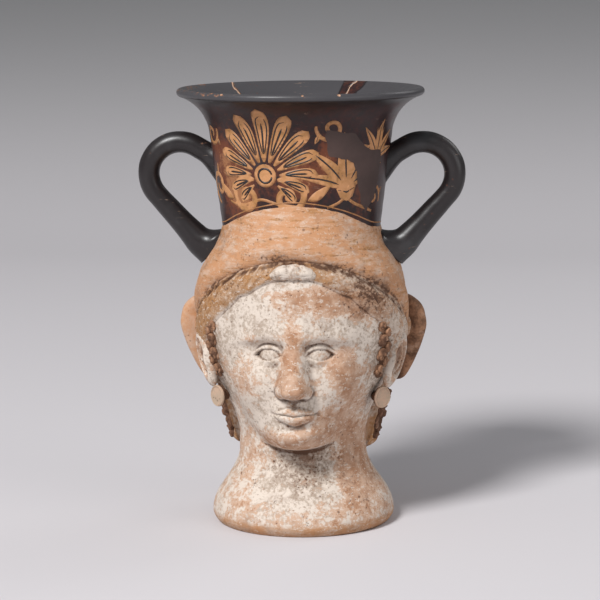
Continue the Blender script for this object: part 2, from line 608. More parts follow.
    def woman(self, turn, z):
        """Distance from the axis, then masks from 0 to 1 for hair and for cloth."""
        w = self.w
        plain, frontal = self.plain_face(turn, z)
        x = plain * np.sin(turn)
        face = plain + self.mounds(WOMAN_MOUND_SHARES, x, z) + self.brow_relief(x, z)
        face = self.with_eyes(face, x, z) + self.lip_relief(x, z)
        face = self.with_nose(face, x, z, WOMAN_NOSE_SHARES, w.nose_tip, w.nose_width)
        radius = plain + (face - plain) * frontal
        below = self.cloth_edge(turn) - z
        side = np.abs(turn) / QUARTER_TURN
        width = (6.5 + 16.5 * side**1.2) * MM
        along = np.abs(turn) * self.s.head_depth
        place = np.stack([along * np.sign(turn), below, 0 * along], -1)
        drift = lumps(place, 7 * MM, 81)
        phase = 2 * np.pi * (along * 0.55 - 0.9 * below) / w.hair_wave + 1.6 * drift
        phase = phase + np.sin(along / (3 * MM))
        fade = smooth_step((1 - side) / 0.12) * smooth_step(along / (7 * MM))
        waves = w.hair_relief * (np.cos(phase) + 0.5 * np.cos(1.9 * phase + 3 * drift)) * fade
        waves = waves * (0.65 + 0.6 * lumps(place, 9 * MM, 83)) + 0.25 * MM * lumps(place, 1.6 * MM, 82)
        ends = 1 + 0.07 * lumps(place * [1, 0, 1], 5 * MM, 84)
        share = np.clip(below / width / ends, 0.0, 1.0)
        hair = (w.hair + waves) * (1 - share**3) ** 0.8
        lift = w.cloth_roll * (1 - 0.60 * side)
        cloth = self.roll_over(-below, lift, 1.5 * w.cloth_roll, w.cloth_fade)
        climb = -below
        folds = 0.16 * MM * np.sin(climb / (2.6 * MM) + 2.2 * np.cos(1.7 * turn))
        folds = folds * smooth_step((climb - 5 * MM) / (5 * MM)) * smooth_step((26 * MM - climb) / (8 * MM))
        folds = folds * smooth_step((1 - side) / 0.2)
        hollow = -1.5 * MM * mound(climb - 18 * MM, 0, 6 * MM, 1) * (1 - 0.7 * side)
        under = np.where(climb < 3 * MM, hair, 0.0) * 0.8
        layer = np.where(below > 0, hair, np.maximum(cloth + folds + hollow, under))
        haired = (below > 0) * smooth_step((1 - share) * 6) * (1 - 0.75 * smooth_step((turn - 0.15) / 0.5))
        crease = 0.9 * MM * crest(below - 1.1 * MM, 1.3 * MM) * (below > 0) * smooth_step((1 - side) / 0.2)
        return radius + layer - crease, haired, smooth_step(climb / (0.4 * MM))

    def beard_relief(self, turn, x, z, radius):
        """Locks that fan out from the satyr's mouth and hang clear of his throat."""
        b, third = self.b, self.third
        side = np.abs(turn) / QUARTER_TURN
        fan_z = self.nose_base + third / 6 - z
        top = self.nose_base - 0.36 * third + 0.92 * third * side**1.15
        top = top - 0.4 * third * np.exp(-((np.abs(x) / (0.33 * third)) ** 4))
        bottom = b.beard_bottom + b.beard_rise * side**1.6
        fan = np.arctan2(x, fan_z)
        fall = np.hypot(x, fan_z)
        sway = 0.55 * np.sin(fall / (3.4 * MM)) + 0.25 * np.sin(fall / (1.7 * MM) + 2)
        lock = np.cos(13 * fan + sway)
        ends = 1.8 * MM * np.cos(26 * fan + 2 * sway)
        upper_edge = dome(1 - np.clip((top - z) / b.beard_edge, 0.0, 1.0))
        lower_edge = dome(1 - np.clip((z - bottom + ends) / (1.4 * b.beard_edge), 0.0, 1.0))
        strands = 0.95 * MM * (2 * np.abs(lock) ** 0.7 - 1.1) + 0.3 * MM * np.cos(78 * fan + 5 * sway)
        waves = 0.3 * MM * np.sin(fall / (1.5 * MM) + 3 * np.cos(13 * fan))
        strands = (strands + waves) * smooth_step((1 - side) / 0.14)
        jaw_height = self.w.chin + 0.37 * third
        jaw = self.face_mass(turn, np.maximum(z, jaw_height)) - 1.5 * MM
        hang = np.maximum(jaw - radius, 0.0) * smooth_step((jaw_height - z) / (third / 3) + 0.3)
        thickness = b.beard * (1 - 0.62 * side**2.2)
        body = np.maximum(thickness + hang + strands, 0.0) * upper_edge * lower_edge
        inside = (z > bottom - ends) & (z < top)
        return np.where(inside, body, 0.0), np.where(inside, smooth_step((upper_edge - 0.2) * 3), 0.0)

    def satyr(self, turn, z):
        """Distance from the axis, then masks for beard and hair, and for the head band."""
        b = self.b
        plain, frontal = self.plain_face(turn, z)
        x = plain * np.sin(turn)
        face = plain + self.mounds(SATYR_MOUND_SHARES, x, z) + 1.6 * self.brow_relief(x, z)
        wrinkle = crest(z - self.brow_height - 8.5 * MM + 10 * x * x, 1.1 * MM)
        face = face - 0.45 * MM * wrinkle * smooth_step((15 * MM - np.abs(x)) / (6 * MM))
        face = self.with_eyes(face, x, z)
        gap = crest(z - self.mouth_height, 0.5 * MM)
        face = face - 1.3 * MM * gap * smooth_step((7.5 * MM - np.abs(x)) / (2 * MM))
        face = self.with_nose(face, x, z, SATYR_NOSE_SHARES, b.nose_tip, b.nose_width)
        radius = plain + (face - plain) * frontal
        beard, bearded = self.beard_relief(turn, x, z, radius)
        rise = z - self.satyr_hair_edge(turn)
        side = np.abs(turn) / QUARTER_TURN
        fade = smooth_step((1 - side) / 0.12)
        along = np.abs(turn) * self.s.head_depth
        phase = 2 * np.pi * along / (4.4 * MM) + 1.1 * np.sin(rise / (3.2 * MM))
        strands = (0.5 * np.cos(phase) + 0.22 * np.cos(2.1 * phase + 0.8)) * MM
        strands = strands * fade * smooth_step(rise / (2 * MM))
        strands = strands * smooth_step((JOINT_HEIGHT - z) / (10 * MM) + 0.6)
        row = mound(0, rise - 2.8 * MM, 1, 2.4 * MM)
        curls = row * np.abs(np.cos(np.pi * along / (6.2 * MM))) * fade * (rise > 0)
        hair = self.roll_over(rise, b.hair, self.w.cloth_roll / 2, self.w.cloth_fade) * (1 - 0.35 * side)
        off = np.abs(rise - b.band_lift) / b.band_half_height
        band = b.band * dome(np.minimum(off, 1.0))
        layer = hair + 1.1 * MM * curls + np.maximum(np.where(rise > 0, strands, 0.0), band)
        hairy = np.maximum(bearded, smooth_step(rise / MM))
        return radius + beard + layer, hairy, smooth_step((1.1 - off) * 5)

    def side_of(self, facing):
        return self.woman if facing == FRONT else self.satyr

    def skin_point(self, facing, turn, z, lift=0.0):
        radius = float(self.side_of(facing)(np.array([turn]), np.array([z]))[0][0]) + lift
        return Vector((radius * math.sin(turn), facing * radius * math.cos(turn), z))

    def cavity(self, z):
        """Half width and half depth of the hollow, which narrows over the floor's ledge."""
        s = self.s
        narrow = s.floor_radius - s.floor_ledge
        halves = []
        for outer in self.half_sizes(z):
            inner = outer - s.head_wall
            halves.append(np.where(z >= s.throat_height, inner, -smooth_max(-inner, -narrow, 6 * MM)))
        return halves


def turned_skin(radius, turns, z, ripple):
    """The radius of the turned wall with its unevenness and the ripples left by the potter's hand."""
    thrown = 0.10 * MM * np.sin(z / (1.1 * MM) + 0.4 * np.sin(turns))
    thrown = thrown * smooth_step((CUP_HEIGHT - 3 * MM - z) / (5 * MM))
    uneven = 0.16 * MM * lumps(round_axis(radius, turns, z), 14 * MM, 21) + thrown * ripple
    return radius + uneven * smooth_step((CUP_HEIGHT - z) / (2 * MM)) - 0.02 * MM


class Mouth:
    """The turned profile of the mouth, outside and in."""

    def __init__(self):
        s = self.s = sizes()
        self.wall = s.wall
        start = np.array([s.neck_top, CUP_HEIGHT - s.flare_height])
        lip = np.array([RIM_RADIUS - s.wall / 2, CUP_HEIGHT - s.wall / 2])
        way = start - np.array([s.neck_root, JOINT_HEIGHT])
        way = way / np.linalg.norm(way)
        square = np.array([way[1], -way[0]])
        to_lip = lip - start
        self.flare = (to_lip @ to_lip - s.wall**2 / 4) / (s.wall + 2 * to_lip @ square)
        self.centre = start + square * self.flare
        self.start, self.lip, self.way, self.square = start, lip, way, square
        self.lip_angle = math.atan2(lip[1] - self.centre[1], lip[0] - self.centre[0])
        self.neck_angle = math.atan2(start[1] - self.centre[1], start[0] - self.centre[0])

    def outside(self, z):
        """Outer radius at a height, up to where the lip turns over."""
        straight = self.s.neck_root + (z - JOINT_HEIGHT) * self.way[0] / self.way[1]
        reach = np.maximum(self.flare**2 - (z - self.centre[1]) ** 2, 0.0)
        return np.where(z < self.start[1], straight, self.centre[0] - np.sqrt(reach))

    def profile(self):
        """Points (radius, height) once round the wall, anticlockwise."""
        def arc(middle, radius, first, last, count):
            turns = np.linspace(first, last, count)
            return middle + radius * np.stack([np.cos(turns), np.sin(turns)], 1)

        def line(first, last, count):
            return first + (last - first) * np.linspace(0, 1, count)[:, None]

        root = np.array([self.s.neck_root, JOINT_HEIGHT])
        inner_start = self.start - self.square * self.wall
        inner_root = inner_start - self.way * (inner_start[1] - JOINT_HEIGHT) / self.way[1]
        neck, lip = self.neck_angle % (2 * math.pi), self.lip_angle % (2 * math.pi)
        outer_arc = arc(self.centre, self.flare, neck, lip, 34)
        lip_arc = arc(self.lip, self.wall / 2, lip - math.pi, lip, 20)
        inner_arc = arc(self.centre, self.flare + self.wall, lip, neck, 34)
        return np.concatenate([
            line(root, self.start, 52)[:-1], outer_arc[:-1], lip_arc[:-1], inner_arc[:-1],
            line(inner_start, inner_root, 40)[:-1], line(inner_root, root, 5)[:-1],
        ])


# Shaders and node trees. A colour mix has its colours at these places among its sockets.

MIX_SHARE, MIX_FIRST, MIX_SECOND, MIX_RESULT = 0, 6, 7, 2


class Wire:
    """A socket's value, which takes part in sums as a number would."""

    def __init__(self, graph, socket):
        self.graph, self.socket = graph, socket

    def __add__(self, other):
        return self.graph.sum("ADD", self, other)

    def __sub__(self, other):
        return self.graph.sum("SUBTRACT", self, other)

    def __rsub__(self, other):
        return self.graph.sum("SUBTRACT", other, self)

    def __mul__(self, other):
        return self.graph.sum("MULTIPLY", self, other)

    def __truediv__(self, other):
        return self.graph.sum("DIVIDE", self, other)

    def __rtruediv__(self, other):
        return self.graph.sum("DIVIDE", other, self)

    __radd__, __rmul__ = __add__, __mul__

    def between(self, low, high):
        """A soft step from 0 at low to 1 at high."""
        inputs = {"Value": self, "From Min": low, "From Max": high}
        return self.graph.node("ShaderNodeMapRange", {"interpolation_type": "SMOOTHSTEP"}, inputs)

    def parts(self):
        """The three numbers of a vector."""
        split = self.graph.node("ShaderNodeSeparateXYZ", None, [self])
        return [Wire(self.graph, socket) for socket in split.socket.node.outputs]


class Graph:
    """Adds nodes to one tree. Inputs are given by place or by name."""

    def __init__(self, tree):
        self.tree = tree

    def connect(self, target, value):
        if isinstance(value, Wire):
            self.tree.links.new(value.socket, target)
        elif not isinstance(value, (str, int, float)) and hasattr(target.default_value, "__len__"):
            value = tuple(value)
            extra = (1.0,) if len(target.default_value) == 4 and len(value) == 3 else ()
            target.default_value = value + extra
        else:
            target.default_value = value

    def node(self, kind, settings=None, inputs=(), output=0):
        node = self.tree.nodes.new(kind)
        for name, value in (settings or {}).items():
            setattr(node, name, value)
        pairs = inputs.items() if isinstance(inputs, dict) else enumerate(inputs)
        for place, value in pairs:
            self.connect(node.inputs[place], value)
        return Wire(self, node.outputs[output]) if node.outputs else None

    def sum(self, operation, *values):
        return self.node("ShaderNodeMath", {"operation": operation}, values)

    def vector(self, operation, *values):
        return self.node("ShaderNodeVectorMath", {"operation": operation}, values)


class Paint(Graph):
    """A material's node tree, whose noises lie in object coordinates. Grains and heights are millimetres."""

    def __init__(self, name):
        self.material = bpy.data.materials.new(name)
        self.material.use_nodes = True
        super().__init__(self.material.node_tree)
        self.tree.nodes.clear()
        self.place = self.node("ShaderNodeTexCoord", output="Object")

    def attribute(self, name):
        return self.node("ShaderNodeAttribute", {"attribute_name": name}, output="Fac")

    def noise(self, grain, detail=3.0, rough=0.55, stretch=None, warp=0.0, shift=0.0):
        """Noise from 0 to 1 whose lumps are about as large as the grain."""
        place = self.vector("MULTIPLY", self.place, stretch) if stretch else self.place
        if shift:
            place = self.vector("ADD", place, (shift, shift / 2, -shift))
        return self.node("ShaderNodeTexNoise", None, {
            "Vector": place, "Scale": 1 / (grain * MM), "Detail": detail,
            "Roughness": rough, "Distortion": warp,
        })

    def mix(self, share, first, second):
        return self.node("ShaderNodeMix", {"data_type": "RGBA", "clamp_factor": True},
                         {MIX_SHARE: share, MIX_FIRST: first, MIX_SECOND: second}, output=MIX_RESULT)

    def bump(self, height, distance, strength):
        inputs = {"Height": height, "Distance": distance * MM, "Strength": strength}
        return self.node("ShaderNodeBump", None, inputs)

    def finished(self, base, roughness, normal, specular=0.5):
        shader = self.node("ShaderNodeBsdfPrincipled", None, {
            "Base Color": base, "Roughness": roughness, "Specular IOR Level": specular, "Normal": normal,
        })
        self.node("ShaderNodeOutputMaterial", None, [shader])
        return self.material


def clay_relief(paint, pits, pitted=1.0):
    """Fine grain, scratches and small pits, for every bare or slipped clay surface."""
    grain = paint.noise(0.5, 3)
    coarse = paint.noise(3.5, 4, shift=0.3)
    scratches = paint.noise(1.6, 2, stretch=(0.35, 0.35, 2.4), warp=0.6)
    height = 0.28 * grain + 0.5 * coarse + 0.3 * scratches - pitted * pits
    return paint.bump(height, 0.30, 0.62)


def pits_of(paint, grain, share, shift=0.0):
    """Small scattered pits, 1 inside."""
    spot = paint.node("ShaderNodeTexVoronoi", None, {"Vector": paint.place, "Scale": 1 / (grain * MM)})
    gate = paint.noise(7, 2, shift=0.7 + shift).between(0.62 - share, 0.72 - share)
    return (1 - spot.between(0.10, 0.26)) * gate


def slipped_clay(name):
    """White slip over clay: worn through in places, mottled by burial, stained in the hollows."""
    look, paint = finish(), Paint(name)
    wear, crevice = paint.attribute("wear"), paint.attribute("crevice")
    cloth, hair, dark = paint.attribute("cloth"), paint.attribute("hair"), paint.attribute("dark")
    blotch = paint.noise(14, 6, 0.62, warp=0.8)
    patch = paint.noise(5.5, 5, 0.66, warp=0.5, shift=0.13)
    streak = paint.noise(6, 6, 0.68, stretch=(0.75, 0.75, 2.4), warp=0.4, shift=0.21)
    fleck = paint.noise(1.3, 4, 0.62, shift=0.5)
    speck = paint.noise(0.75, 2, 0.5, shift=0.95)
    worn = wear + 0.7 * (blotch - 0.5) + 1.9 * (patch - 0.5) + 1.0 * (streak - 0.5) + 1.1 * (fleck - 0.5)
    greyed = (patch + 0.8 * (fleck - 0.5) + 0.25 * dark).between(0.42, 0.64)
    grey = paint.mix(greyed, look.slip, look.grey_slip)
    pale = paint.mix((worn + 0.25 * (speck - 0.5)).between(-0.06, 0.20), grey, look.pale_clay)
    shade = paint.mix(paint.noise(5, 4, shift=0.9).between(0.35, 0.7), look.clay, look.pale_clay)
    clay = paint.mix(worn.between(0.32, 0.43), pale, shade)
    ochre = hair * (blotch * 0.6 + streak * 0.6 + fleck * 0.4).between(0.42, 0.88)
    clay = paint.mix(ochre * 0.9, clay, look.ochre)
    warm = paint.mix((streak + 0.5 * (blotch - 0.5)).between(0.36, 0.56), look.pale_clay, look.cloth_clay)
    lines = paint.noise(3.4, 5, 0.7, stretch=(0.28, 0.28, 2.2), warp=0.5, shift=4.2)
    warm = paint.mix((lines - 0.5 * (patch - 0.5)).between(0.54, 0.66) * 0.7, warm, look.ochre)
    warm = paint.mix((lines + 0.6 * (fleck - 0.5)).between(0.64, 0.74) * 0.6, warm, look.stain)
    clay = paint.mix(cloth * (0.62 + 0.6 * (patch - 0.3)).between(0.25, 0.7), clay, warm)
    film = paint.noise(9, 5, 0.7, warp=0.6, shift=3.3).between(0.50, 0.72)
    clay = paint.mix(film * 0.35, clay, look.grime)
    gate = paint.noise(9, 3, shift=1.3)
    speckle = (fleck + 0.6 * (speck - 0.5)).between(0.58, 0.68) * gate.between(0.40, 0.58)
    stains = (crevice * (0.55 + 0.7 * patch)).between(0.10, 0.95) * 0.85
    stains = stains + 0.5 * speckle + dark * (0.30 + 0.70 * (patch + 0.9 * (fleck - 0.5)).between(0.40, 0.62))
    pits = pits_of(paint, 3.2, 0.06) + pits_of(paint, 1.6, 0.10, 0.4)
    stained = paint.mix((stains + 0.7 * pits).between(0.0, 1.2), clay, look.stain)
    white = paint.noise(2.4, 5, 0.7, stretch=(0.7, 0.7, 1.9), shift=2.1)
    whiter = (white + 0.5 * (speck - 0.5)).between(0.57, 0.64) * (1 - 0.55 * cloth)
    whiter = whiter * (1 - 0.75 * dark.between(0.1, 0.8))
    stained = paint.mix(whiter * 0.75 * (1 - crevice.between(0.1, 0.5)), stained, look.slip)
    return paint.finished(stained, 0.60 + 0.25 * fleck, clay_relief(paint, pits, 1.3), 0.3)


def bare_clay(name, base, darker, darkness):
    """Bare fired clay with darker dirt in the hollows, for ears, curls and coils."""
    look, paint = finish(), Paint(name)
    crevice = paint.attribute("crevice")
    blotch = paint.noise(6, 5, 0.62, warp=0.6)
    fleck = paint.noise(1.2, 3, 0.6, shift=0.5)
    tone = paint.mix((blotch + 0.4 * fleck).between(0.48, 0.9), base, darker)
    tone = paint.mix(paint.noise(4, 4, shift=1.7).between(0.55, 0.72) * 0.5, tone, look.pale_clay)
    dirt = (crevice * 0.9 + darkness * blotch.between(0.5, 0.75)).between(0.15, 1.0)
    pits = pits_of(paint, 2.0, 0.12)
    tone = paint.mix(dirt + 0.5 * pits, tone, look.stain)
    return paint.finished(tone, 0.68 + 0.16 * fleck, clay_relief(paint, pits), 0.3)


def black_gloss(name, specular=0.5):
    """Black gloss: satin, misfired red in places, worn to clay at edges and scratched."""
    look, paint = finish(), Paint(name)
    red, edge = paint.attribute("misfired"), paint.attribute("edge")
    cloud = paint.noise(9, 5, 0.62, stretch=(1.3, 1.3, 0.7), warp=0.9)
    fine = paint.noise(2.0, 4, 0.66, warp=0.4, shift=0.6)
    fleck = paint.noise(0.7, 2, shift=1.2)
    burnt = red + 0.9 * (cloud - 0.5) + 0.8 * (fine - 0.5)
    mottle = (0.8 * cloud + 0.6 * (fine - 0.5) + 0.10).between(0.36, 0.58)
    ground = paint.mix(red.between(0.10, 0.22) * (0.25 + 0.70 * mottle), look.gloss, look.brown_gloss)
    tone = paint.mix(burnt.between(0.28, 0.75), ground, look.misfired)
    tone = paint.mix((burnt + 0.5 * (fleck - 0.5)).between(0.78, 1.05) * 0.42, tone, look.figure)
    grey = paint.noise(22, 3, shift=2.4).between(0.52, 0.75)
    tone = paint.mix(grey * 0.22, tone, look.grey_bloom)
    lines = paint.noise(2.2, 3, stretch=(0.3, 0.3, 3.2), warp=1.2, shift=3.1)
    scratch = lines.between(0.66, 0.70) * paint.noise(14, 2, shift=4.0).between(0.5, 0.65)
    worn = edge + 1.2 * (fine - 0.5) + 0.6 * (cloud - 0.5)
    bare = paint.mix(fleck.between(0.3, 0.7), look.misfired, look.clay)
    bare = paint.mix(edge.between(0.75, 1.0), bare, look.pale_clay)
    tone = paint.mix((0 - red).between(0.1, 0.4) * 0.75, tone, look.inside_gloss)
    tone = paint.mix(worn.between(0.62, 0.86), tone, bare)
    tone = paint.mix(scratch * 0.35, tone, look.pale_clay)
    spots = pits_of(paint, 2.4, 0.02)
    tone = paint.mix(spots * 0.5, tone, look.misfired)
    roughness = 0.25 + 0.12 * fine + 0.10 * cloud + 0.3 * worn.between(0.55, 0.8)
    roughness = roughness + 0.12 * burnt.between(0.3, 0.8)
    height = 0.5 * paint.noise(4.5, 2, shift=5.0) + 0.2 * fine - 0.4 * spots - 0.3 * scratch
    return paint.finished(tone, roughness, paint.bump(height, 0.22, 0.55), specular)


def reserved_clay(name):
    """The orange clay that the painter left bare, with worn and dirty places."""
    look, paint = finish(), Paint(name)
    cloud = paint.noise(7, 5, 0.62, warp=0.6)
    fine = paint.noise(1.1, 4, 0.66, shift=0.4)
    tone = paint.mix(cloud.between(0.35, 0.7), look.figure, look.ochre)
    tone = paint.mix(fine.between(0.55, 0.75) * 0.4, tone, look.pale_clay)
    dirt = (cloud + 0.7 * (fine - 0.5)).between(0.60, 0.80)
    tone = paint.mix(dirt * 0.75, tone, look.stain)
    tone = paint.mix(paint.attribute("edge") * 0.8, tone, look.misfired)
    return paint.finished(tone, 0.45 + 0.2 * fine, paint.bump(fine, 0.1, 0.4), 0.4)


def painted_line(name):
    """The thin gloss of a drawn line, which lets some clay through."""
    look, paint = finish(), Paint(name)
    fine = paint.noise(1.4, 4, 0.66, shift=0.4)
    tone = paint.mix(fine.between(0.5, 0.72), look.gloss, look.misfired)
    return paint.finished(tone, 0.35 + 0.15 * fine, paint.bump(fine, 0.06, 0.4))


def plaster(name):
    """A modern fill, retouched smooth and even."""
    look, paint = finish(), Paint(name)
    cloud = paint.noise(10, 3)
    fine = paint.noise(0.6, 2, shift=0.8)
    lighter = tuple(1.35 * part for part in look.plaster)
    tone = paint.mix(cloud.between(0.3, 0.75), look.plaster, lighter)
    normal = paint.bump(0.6 * cloud + 0.2 * fine, 0.16, 0.5)
    return paint.finished(tone, 0.52 + 0.12 * fine, normal, 0.35)


def broken_clay(name):
    """The bare body of the pot where it broke."""
    look, paint = finish(), Paint(name)
    fine = paint.noise(0.6, 4, 0.7)
    tone = paint.mix(fine.between(0.3, 0.7), look.clay, look.pale_clay)
    return paint.finished(tone, 0.9, paint.bump(fine, 0.2, 0.8), 0.2)


# Meshes


def linked(name, data):
    """A new object in the scene."""
    thing = bpy.data.objects.new(name, data)
    bpy.context.scene.collection.objects.link(thing)
    return thing


def plain_mesh(name, points, faces, materials, index=0):
    mesh = bpy.data.meshes.new(name)
    mesh.from_pydata(np.asarray(points, dtype=float).tolist(), [], [tuple(face) for face in faces])
    for material in materials:
        mesh.materials.append(material)
    mesh.polygons.foreach_set("material_index", [index] * len(mesh.polygons))
    mesh.update()
    return mesh


def set_values(mesh, key, column):
    layer = mesh.attributes.new(key, "FLOAT", "POINT")
    layer.data.foreach_set("value", np.ascontiguousarray(column, dtype=np.float32).ravel())


def settle(name, mesh, node, masks):
    """A mesh as one object on the cup's only body, with its masks as point attributes."""
    for key, column in masks.items():
        set_values(mesh, key, column)
    mesh.polygons.foreach_set("use_smooth", [True] * len(mesh.polygons))
    piece = linked(name, mesh)
    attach(piece, "root")
    if node:
        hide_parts(node)


def new_piece(name, points, faces, material, node, masks):
    settle(name, plain_mesh(name, points, faces, [material]), node, masks)


def paired_pieces(stem, points, faces, clay, node, masks):
    """A form on the +X side and, turned over, on the -X side. Clay and masks may differ by side."""
    faces = outward(points, faces)
    for side, way, turned in (("right", 1, faces), ("left", -1, flipped(faces))):
        places = np.asarray(points) * [way, 1, 1]
        material = clay[side] if isinstance(clay, dict) else clay
        values = masks(side, places) if callable(masks) else masks
        new_piece(stem + side, places, turned, material, node + side, values)


def point_array(mesh):
    points = np.empty(len(mesh.vertices) * 3)
    mesh.vertices.foreach_get("co", points)
    return points.reshape(-1, 3)


def grid_faces(rows, columns, wrap_rows=False, wrap_columns=False):
    """Quads of a grid whose points run along the rows."""
    rows_used, columns_used = (rows if wrap_rows else rows - 1), (columns if wrap_columns else columns - 1)
    i, j = (place.ravel() for place in np.meshgrid(np.arange(rows_used), np.arange(columns_used), indexing="ij"))
    down, right = (i + 1) % rows, (j + 1) % columns
    corners = [i * columns + j, i * columns + right, down * columns + right, down * columns + j]
    return np.stack(corners, 1).tolist()


def closed_tube(rings):
    """Points and faces of a tube of rings, with a fan over each end."""
    count, sides = rings.shape[:2]
    faces = grid_faces(count, sides, wrap_columns=True)
    points = np.concatenate([rings.reshape(-1, 3), rings[:1].mean(1), rings[-1:].mean(1)])
    first, last, base = count * sides, count * sides + 1, (count - 1) * sides
    for j in range(sides):
        k = (j + 1) % sides
        faces += [[first, k, j], [last, base + j, base + k]]
    return points, faces


def with_ends(values, first, last):
    """Values for a tube's rings, then for the middles of its two ends."""
    return np.concatenate([np.ravel(values), [first, last]])


def swept_rings(path, radii, sides):
    """Rings round a path, without twist, for a pulled roll of clay."""
    ways = np.gradient(path, axis=0)
    ways /= np.linalg.norm(ways, axis=1)[:, None]
    normal = np.cross(ways[0], [0.0, 1.0, 0.02])
    turns = round_turns(sides)[:, None]
    rings = []
    for point, way, radius in zip(path, ways, radii):
        normal = normal - way * (normal @ way)
        normal /= np.linalg.norm(normal)
        rings.append(point + radius * (np.cos(turns) * normal + np.sin(turns) * np.cross(way, normal)))
    return np.array(rings)


def flipped(faces):
    return [list(face)[::-1] for face in faces]


def outward(points, faces):
    """The faces, turned over if they look inwards."""
    points = np.asarray(points)
    volume = 0.0
    for face in faces:
        for a, b in zip(face[1:-1], face[2:]):
            volume += points[face[0]] @ np.cross(points[a], points[b])
    return faces if volume > 0 else flipped(faces)


def blurred(grid, across, down):
    """A grid of values, smoothed by a bell as wide as so many columns and rows."""
    result = grid
    for axis, width in ((1, across), (0, down)):
        reach = int(2.5 * width)
        bell = np.exp(-((np.arange(-reach, reach + 1) / width) ** 2) / 2)
        bell /= bell.sum()
        padding = [(reach, reach) if axis == k else (0, 0) for k in (0, 1)]
        padded = np.pad(result, padding, mode="edge")
        result = np.apply_along_axis(lambda line: np.convolve(line, bell, "valid"), axis, padded)
    return result


# Both heads


def head_grid(facing, columns=235, rows=352):
    """Turns and heights of a head's skin, whose rows follow the edge of the cloth or hair."""
    heads = Heads()
    edge_of = heads.cloth_edge if facing == FRONT else heads.satyr_hair_edge
    place = np.linspace(-1, 1, columns)
    turn = QUARTER_TURN * (0.70 * place + 0.30 * place**3)
    base = np.linspace(0, heads.crown_top, rows)
    edge = float(edge_of(np.array([0.0]))[0])
    weight = np.where(base < edge, (base / edge) ** 2, (heads.crown_top - base) / (heads.crown_top - edge))
    z = base[:, None] - weight[:, None] * (edge - edge_of(turn))[None, :]
    return heads, np.broadcast_to(turn, z.shape), z


def build_head(facing, name, node, material):
    heads, turn, z = head_grid(facing)
    s, mouth = heads.s, Mouth()
    radius, hair, top_mask = heads.side_of(facing)(turn, z)
    place = round_axis(radius, turn, z, facing)
    uneven = layered_lumps(place, 11 * MM, 3, 5) + 0.35 * lumps(place, 2.2 * MM, 9)
    settle_down = smooth_step(z / (4 * MM))
    radius = radius + s.unevenness * uneven * settle_down
    hollow = blurred(radius, 1.5, 2.0) - radius
    broad = blurred(radius, 5, 6) - radius
    neck = mouth.outside(np.maximum(z, JOINT_HEIGHT))
    radius = np.where(z > JOINT_HEIGHT, np.maximum(radius, neck - 0.8 * MM), radius)
    outer = np.stack([radius, z], -1)
    turns = turn[0]
    lap_z = np.linspace(heads.crown_top, JOINT_HEIGHT, 7)[1:, None] + 0 * turns
    lap = np.stack([mouth.outside(lap_z) - 1.6 * MM, lap_z], -1)
    cavity_z = np.linspace(JOINT_HEIGHT - 0.01 * MM, s.floor_top, 34)[:, None] + 0 * turns
    inner = np.stack([heads.ellipse(turns + 0 * cavity_z, *heads.cavity(cavity_z)), cavity_z], -1)
    seat_z = np.array([s.floor_top - 0.01 * MM, 0.0])[:, None] + 0 * turns
    seat = np.stack([s.floor_radius + 0 * seat_z, seat_z], -1)
    profile = np.concatenate([outer, lap, inner, seat])
    rows, columns = profile.shape[:2]
    x = profile[..., 0] * np.sin(turns)
    y = facing * profile[..., 0] * np.cos(turns)
    y[:, 0] = y[:, -1] = 0.0
    points = np.stack([x, y, profile[..., 1]], -1).reshape(-1, 3)
    faces = grid_faces(rows, columns, wrap_rows=True)
    faces.append([i * columns for i in range(rows)])
    faces.append([i * columns + columns - 1 for i in range(rows)][::-1])

    def padded(values):
        full = np.zeros((rows, columns))
        full[: len(values)] = values
        return full.reshape(-1)

    across, up = x[: len(z)] / MM, z / MM
    wear = patches(WOMAN_WEAR if facing == FRONT else SATYR_WEAR, across, up)
    proud = np.clip(-broad / (0.45 * MM), 0, 1)
    crevice = np.clip(hollow / (0.16 * MM), 0, 1) * 0.52 + np.clip(broad / (1.1 * MM), 0, 1) * 0.34
    wear = wear + 0.22 * proud - 0.1
    dark = shadow_stains(facing, heads, turn, z, across, up)
    if facing == BACK:
        wear = wear + 0.25 * hair
        top_mask = np.maximum(top_mask * 0.2, smooth_step((z - heads.satyr_hair_edge(turn)) / MM) * 0.7)
    foot = smooth_step((6.2 - up) / 3)
    top_mask = np.maximum(top_mask, 0.55 * foot)
    masks = {
        "wear": wear, "crevice": crevice, "cloth": top_mask, "hair": np.maximum(hair, 0.85 * foot), "dark": dark,
    }
    masks = {key: padded(value) for key, value in masks.items()}
    new_piece(name, points, outward(points, faces), material, node, masks)


def shadow_stains(facing, heads, turn, z, across, up):
    """Where dirt has gathered: under the chin, under the roll and beside the cheeks."""
    edge = (heads.cloth_edge(turn) if facing == FRONT else heads.satyr_hair_edge(turn)) / MM
    below = edge - up
    gather = np.where(below > 0, crest(below, 3.0), 0.8 * crest(below, 2.8))
    gather = gather * (0.65 + 0.3 * lumps(np.stack([turn, z, 0 * z], -1) * [45, 1000, 0] / 1000, 7 * MM, 3))
    cheeks = mound(np.abs(across) - 34, up - 60, 4, 14) * (np.abs(turn) < 1.25)
    if facing == FRONT:
        temples = mound(np.abs(across) - 38, up - 79, 4.5, 11) * (np.abs(turn) < 1.3)
        stains = patches(WOMAN_STAINS, across, up)
        return np.clip(0.75 * gather + stains + 0.6 * cheeks + 0.9 * temples, 0, 1.1)
    return np.clip(0.7 * gather + 0.4 * cheeks + 0.25 * mound(across, up - 24, 30, 6), 0, 1.2)


# The turned mouth with its breaks


